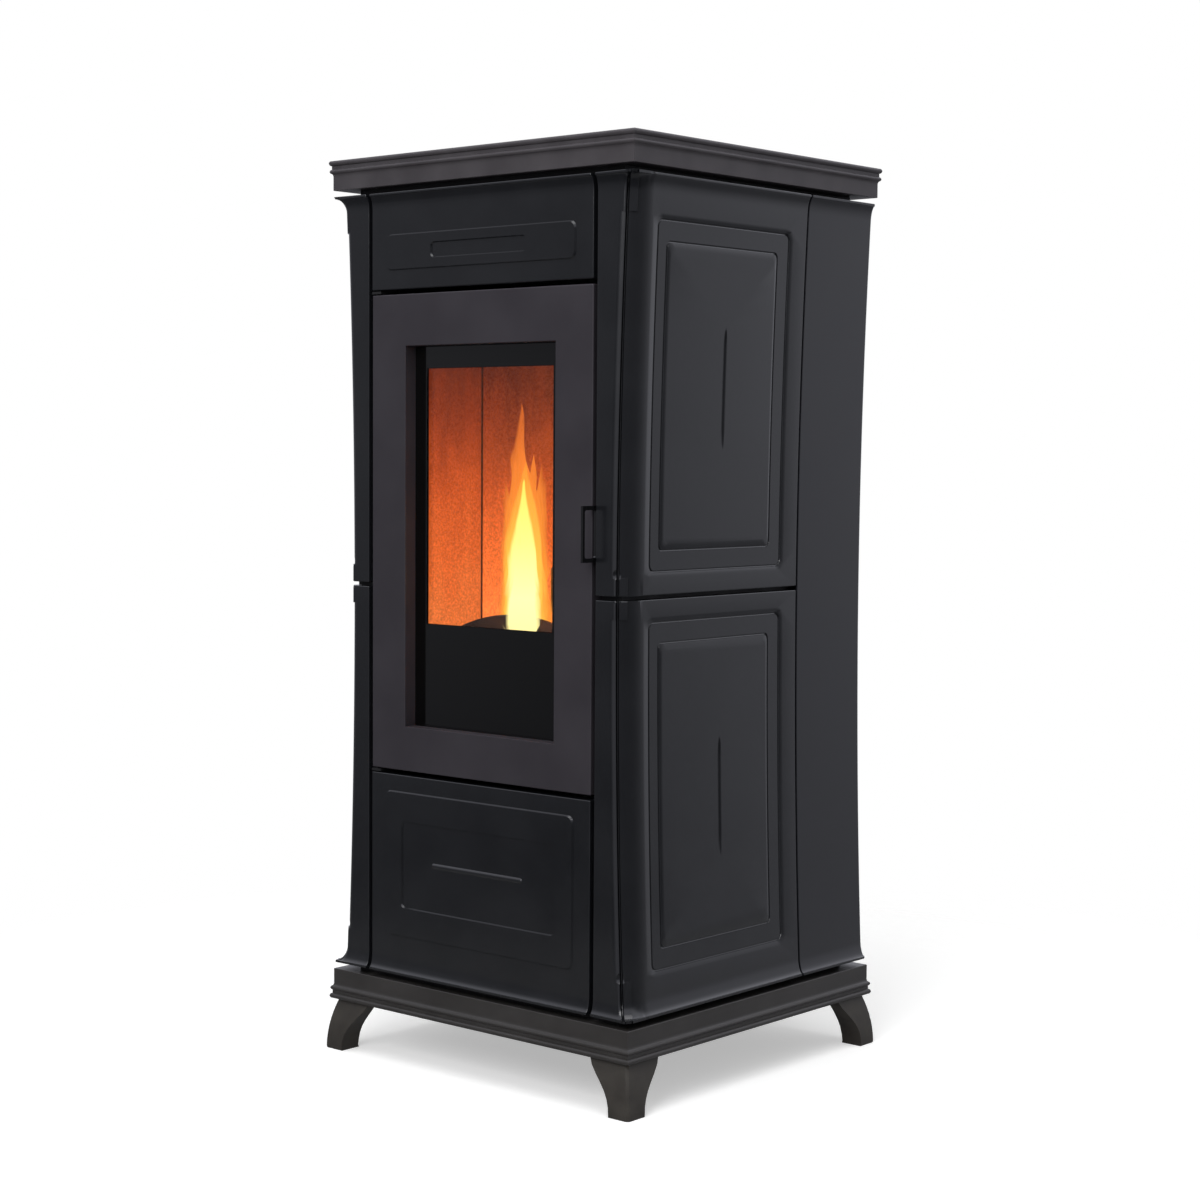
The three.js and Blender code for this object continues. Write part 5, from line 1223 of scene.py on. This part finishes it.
# Each flame: its colours from foot to tip, its strength, ends, fullness and half width, and its
# tongues. A tongue has a place across and out of the fire, a foot, a height, a half width, a lean
# and a seed.
for name, stops, burning, tongues in (
    (
        "outer",
        [(0.0, "#ffa63a"), (0.4, "#ff9c38"), (0.7, "#fb8a34"), (1.0, "#ef7430")],
        (1.0, (0, 375), 0.6, 48),
        (
            ((0, 0), 0, 270, 48, -4, 3),
            ((-18, 8), 110, 188, 12, -34, 5),
            ((-7, 4), 185, 172, 15, -4, 13),
            ((8, 8), 120, 150, 13, 3, 18),
            ((20, 6), 100, 180, 13, 5, 8),
            ((34, 2), 20, 105, 15, 4, 9),
        ),
    ),
    (
        "middle",
        [(0.0, "#ffd45a"), (0.5, "#ffc650"), (0.8, "#ffae42"), (1.0, "#ff9834")],
        (1.1, (0, 275), 0.85, 37),
        (
            ((0, 26), 16, 244, 40, 2, 14),
            ((10, 30), 60, 215, 13, 6, 15),
            ((-15, 26), 50, 190, 12, -8, 16),
        ),
    ),
    (
        "inner",
        [(0.0, "#fff2a0"), (0.35, "#fffab4"), (0.65, "#fff38c"), (1.0, "#ffdc5c")],
        (1.35, (10, 240), 0.95, 27),
        (((-1, 58), 34, 205, 31, 1, 21),),
    ),
):
    gas = flame_material(f"{name.capitalize()} flame", stops, *burning)
    flames = [tongue(*in_fire(*spot), FLAME_LOW + low, *size) for spot, low, *size in tongues]
    put(joined(*flames), f"flame_{name}", gas)

# ---- Camera, floor and light ----

FRAME_PIXELS = 1200
FOCAL_PIXELS = 2343.5
CAMERA_PLACE = (1992.1, -2311.7, 782.4)
CAMERA_ANGLES = (40.868, 3.643, 0.3725)
FLOOR_RADIUS = 1.6
FADE_FROM, FADE_TO = 0.62, 1.25
FLOOR_LIFT = 0.42
FLOOR_REFLECTED = 0.12
FLOOR_DULLED = 0.75
PLAIN_LIGHT = 0.42
SCREEN_WAY = (0.34, -0.94, 0.0)
COOL_TINT = (0.96, 0.97, 1.07, 1)

camera_data = bpy.data.cameras.new("Camera")
camera_data.sensor_fit = "HORIZONTAL"
camera_data.sensor_width = 36
camera_data.lens = 36 * FOCAL_PIXELS / FRAME_PIXELS
camera_data.clip_end = 50
camera = bpy.data.objects.new("Camera", camera_data)
bpy.context.scene.collection.objects.link(camera)
yaw, pitch, roll = (math.radians(a) for a in CAMERA_ANGLES)
forward = Vector(
    (-math.sin(yaw) * math.cos(pitch), math.cos(yaw) * math.cos(pitch), -math.sin(pitch))
)
level_right = Vector((math.cos(yaw), math.sin(yaw), 0))
level_up = level_right.cross(forward)
right = math.cos(roll) * level_right + math.sin(roll) * level_up
up = math.cos(roll) * level_up - math.sin(roll) * level_right
turn = Matrix((right, up, -forward)).transposed()
camera.matrix_world = Matrix.Translation(at(*CAMERA_PLACE)) @ turn.to_4x4()
bpy.context.scene.camera = camera


def floor_material():
    """Pale paper: lit up where it is seen, dull in reflections, and faded out towards its edge."""
    paper = new_material("Pale floor")
    ray = node(paper, "LightPath")
    direct = node(
        paper,
        "Math",
        links={0: (ray, "Is Camera Ray"), 1: (ray, "Is Transmission Ray")},
        operation="MAXIMUM",
    )
    reflected = node(
        paper, "Math", {1: FLOOR_REFLECTED}, {0: (ray, "Is Glossy Ray")}, operation="MULTIPLY"
    )
    show = node(paper, "Math", links={0: direct, 1: reflected}, operation="MAXIMUM")
    lift = node(paper, "Math", {1: FLOOR_LIFT}, {0: show}, operation="MULTIPLY")
    matt = node(
        paper,
        "BsdfPrincipled",
        {
            "Base Color": colour("#e8e8e8"),
            "Roughness": 0.9,
            "Specular IOR Level": 0.0,
            "Emission Color": (1, 1, 1, 1),
        },
        {"Emission Strength": lift},
    )
    place = node(paper, "TexCoord")
    reach = node(paper, "VectorMath", links={0: (place, "Object")}, operation="LENGTH")
    fade = node(
        paper,
        "MapRange",
        {"From Min": FADE_FROM, "From Max": FADE_TO},
        {"Value": (reach, "Value")},
        interpolation_type="SMOOTHSTEP",
    )
    dulled = node(
        paper, "Math", {1: FLOOR_DULLED}, {0: (ray, "Is Glossy Ray")}, operation="MULTIPLY"
    )
    gone = node(paper, "Math", links={0: fade, 1: dulled}, operation="MAXIMUM")
    nothing = node(paper, "BsdfTransparent")
    faded = node(paper, "MixShader", links={0: gone, 1: matt, 2: nothing})
    node(paper, "OutputMaterial", links={"Surface": faded})
    return paper


clear_selection()
bpy.ops.mesh.primitive_circle_add(
    vertices=96, radius=FLOOR_RADIUS, fill_type="NGON", location=(0, 0, 0)
)
floor = bpy.context.object
floor.name = "studio_floor"
floor.data.materials.append(floor_material())


def studio_world():
    """A white studio: white where it is seen and plain on the object.

    Its reflections have a dark front wall and floor, a bright back wall, a bright screen at the
    front right and a bright ceiling.
    """
    world = bpy.data.worlds.new("Studio")
    world.use_nodes = True
    world.node_tree.nodes.clear()
    ray = node(world, "LightPath")
    seen = node(
        world,
        "Math",
        links={0: (ray, "Is Camera Ray"), 1: (ray, "Is Transmission Ray")},
        operation="MAXIMUM",
    )
    way = node(world, "TexCoord")
    axes = node(world, "SeparateXYZ", links={"Vector": (way, "Generated")})
    walls = node(
        world,
        "ValToRGB",
        links={"Fac": (axes, "Y")},
        stops=[(0.1, 0.3), (0.4, 0.33), (0.62, 0.56), (0.77, 0.98), (0.85, 1.2)],
    )
    screen_way = node(
        world, "VectorMath", {1: SCREEN_WAY}, {0: (way, "Generated")}, operation="DOT_PRODUCT"
    )
    left_wall, rise, screen, ceiling = (
        node(
            world,
            "MapRange",
            {"From Min": low, "From Max": high, "To Min": start, "To Max": end},
            {"Value": source},
            interpolation_type=kind,
        )
        for source, low, high, start, end, kind in (
            ((axes, "X"), -0.74, -0.64, 1.3, 0.85, "LINEAR"),
            ((axes, "Z"), -0.22, 0.0, 0.35, 1.0, "LINEAR"),
            ((screen_way, "Value"), 0.86, 1.0, 0.0, 0.55, "SMOOTHSTEP"),
            ((axes, "Z"), 0.14, 0.55, 0.0, 1.15, "SMOOTHSTEP"),
        )
    )
    sides = node(world, "Math", links={0: walls, 1: left_wall}, operation="MULTIPLY")
    risen = node(world, "Math", links={0: rise, 1: sides}, operation="MULTIPLY")
    screened = node(world, "Math", links={0: risen, 1: screen}, operation="ADD")
    reflected = node(world, "Math", links={0: screened, 1: ceiling}, operation="ADD")
    glossy = node(world, "Mix", {2: PLAIN_LIGHT}, {0: (ray, "Is Glossy Ray"), 3: reflected})
    level = node(world, "Mix", {3: 1.0}, {0: seen, 2: glossy})
    tint = node(
        world, "Mix", {6: (1, 1, 1, 1), 7: COOL_TINT}, {0: (ray, "Is Glossy Ray")}, data_type="RGBA"
    )
    sky = node(world, "Background", links={"Color": (tint, 2), "Strength": level})
    node(world, "OutputWorld", links={"Surface": sky})
    return world


bpy.context.scene.world = studio_world()


def soft_light(name, place, aim, size, power):
    data = bpy.data.lights.new(name, "AREA")
    data.shape = "RECTANGLE"
    data.size, data.size_y = size
    data.energy = power
    lamp = bpy.data.objects.new(name, data)
    bpy.context.scene.collection.objects.link(lamp)
    lamp.location = place
    lamp.rotation_euler = (Vector(aim) - Vector(place)).to_track_quat("-Z", "Y").to_euler()


soft_light("Overhead softbox", (0.3, -0.5, 3.2), (0, 0, 0.4), (2.6, 2.6), 55)
soft_light("Front softbox", (1.2, -3.3, 2.5), (0, 0, 0.7), (1.8, 1.8), 66)
soft_light("Right softbox", (3.2, 1.4, 2.6), (0.2, 0, 0.7), (1.8, 1.8), 2)

# The fire's own light on the hearth and the boards, with no lamp to be seen.
fire = bpy.data.lights.new("Fire", "POINT")
fire.energy = 2.8
fire.color = colour("#ff8a3c")[:3]
fire.shadow_soft_size = 0.03
fire_lamp = bpy.data.objects.new("Fire", fire)
fire_lamp.location = at(*in_fire(-10, 96), 640)
fire_lamp.visible_camera = fire_lamp.visible_transmission = fire_lamp.visible_glossy = False
bpy.context.scene.collection.objects.link(fire_lamp)

bpy.context.scene.view_settings.view_transform = "Standard"
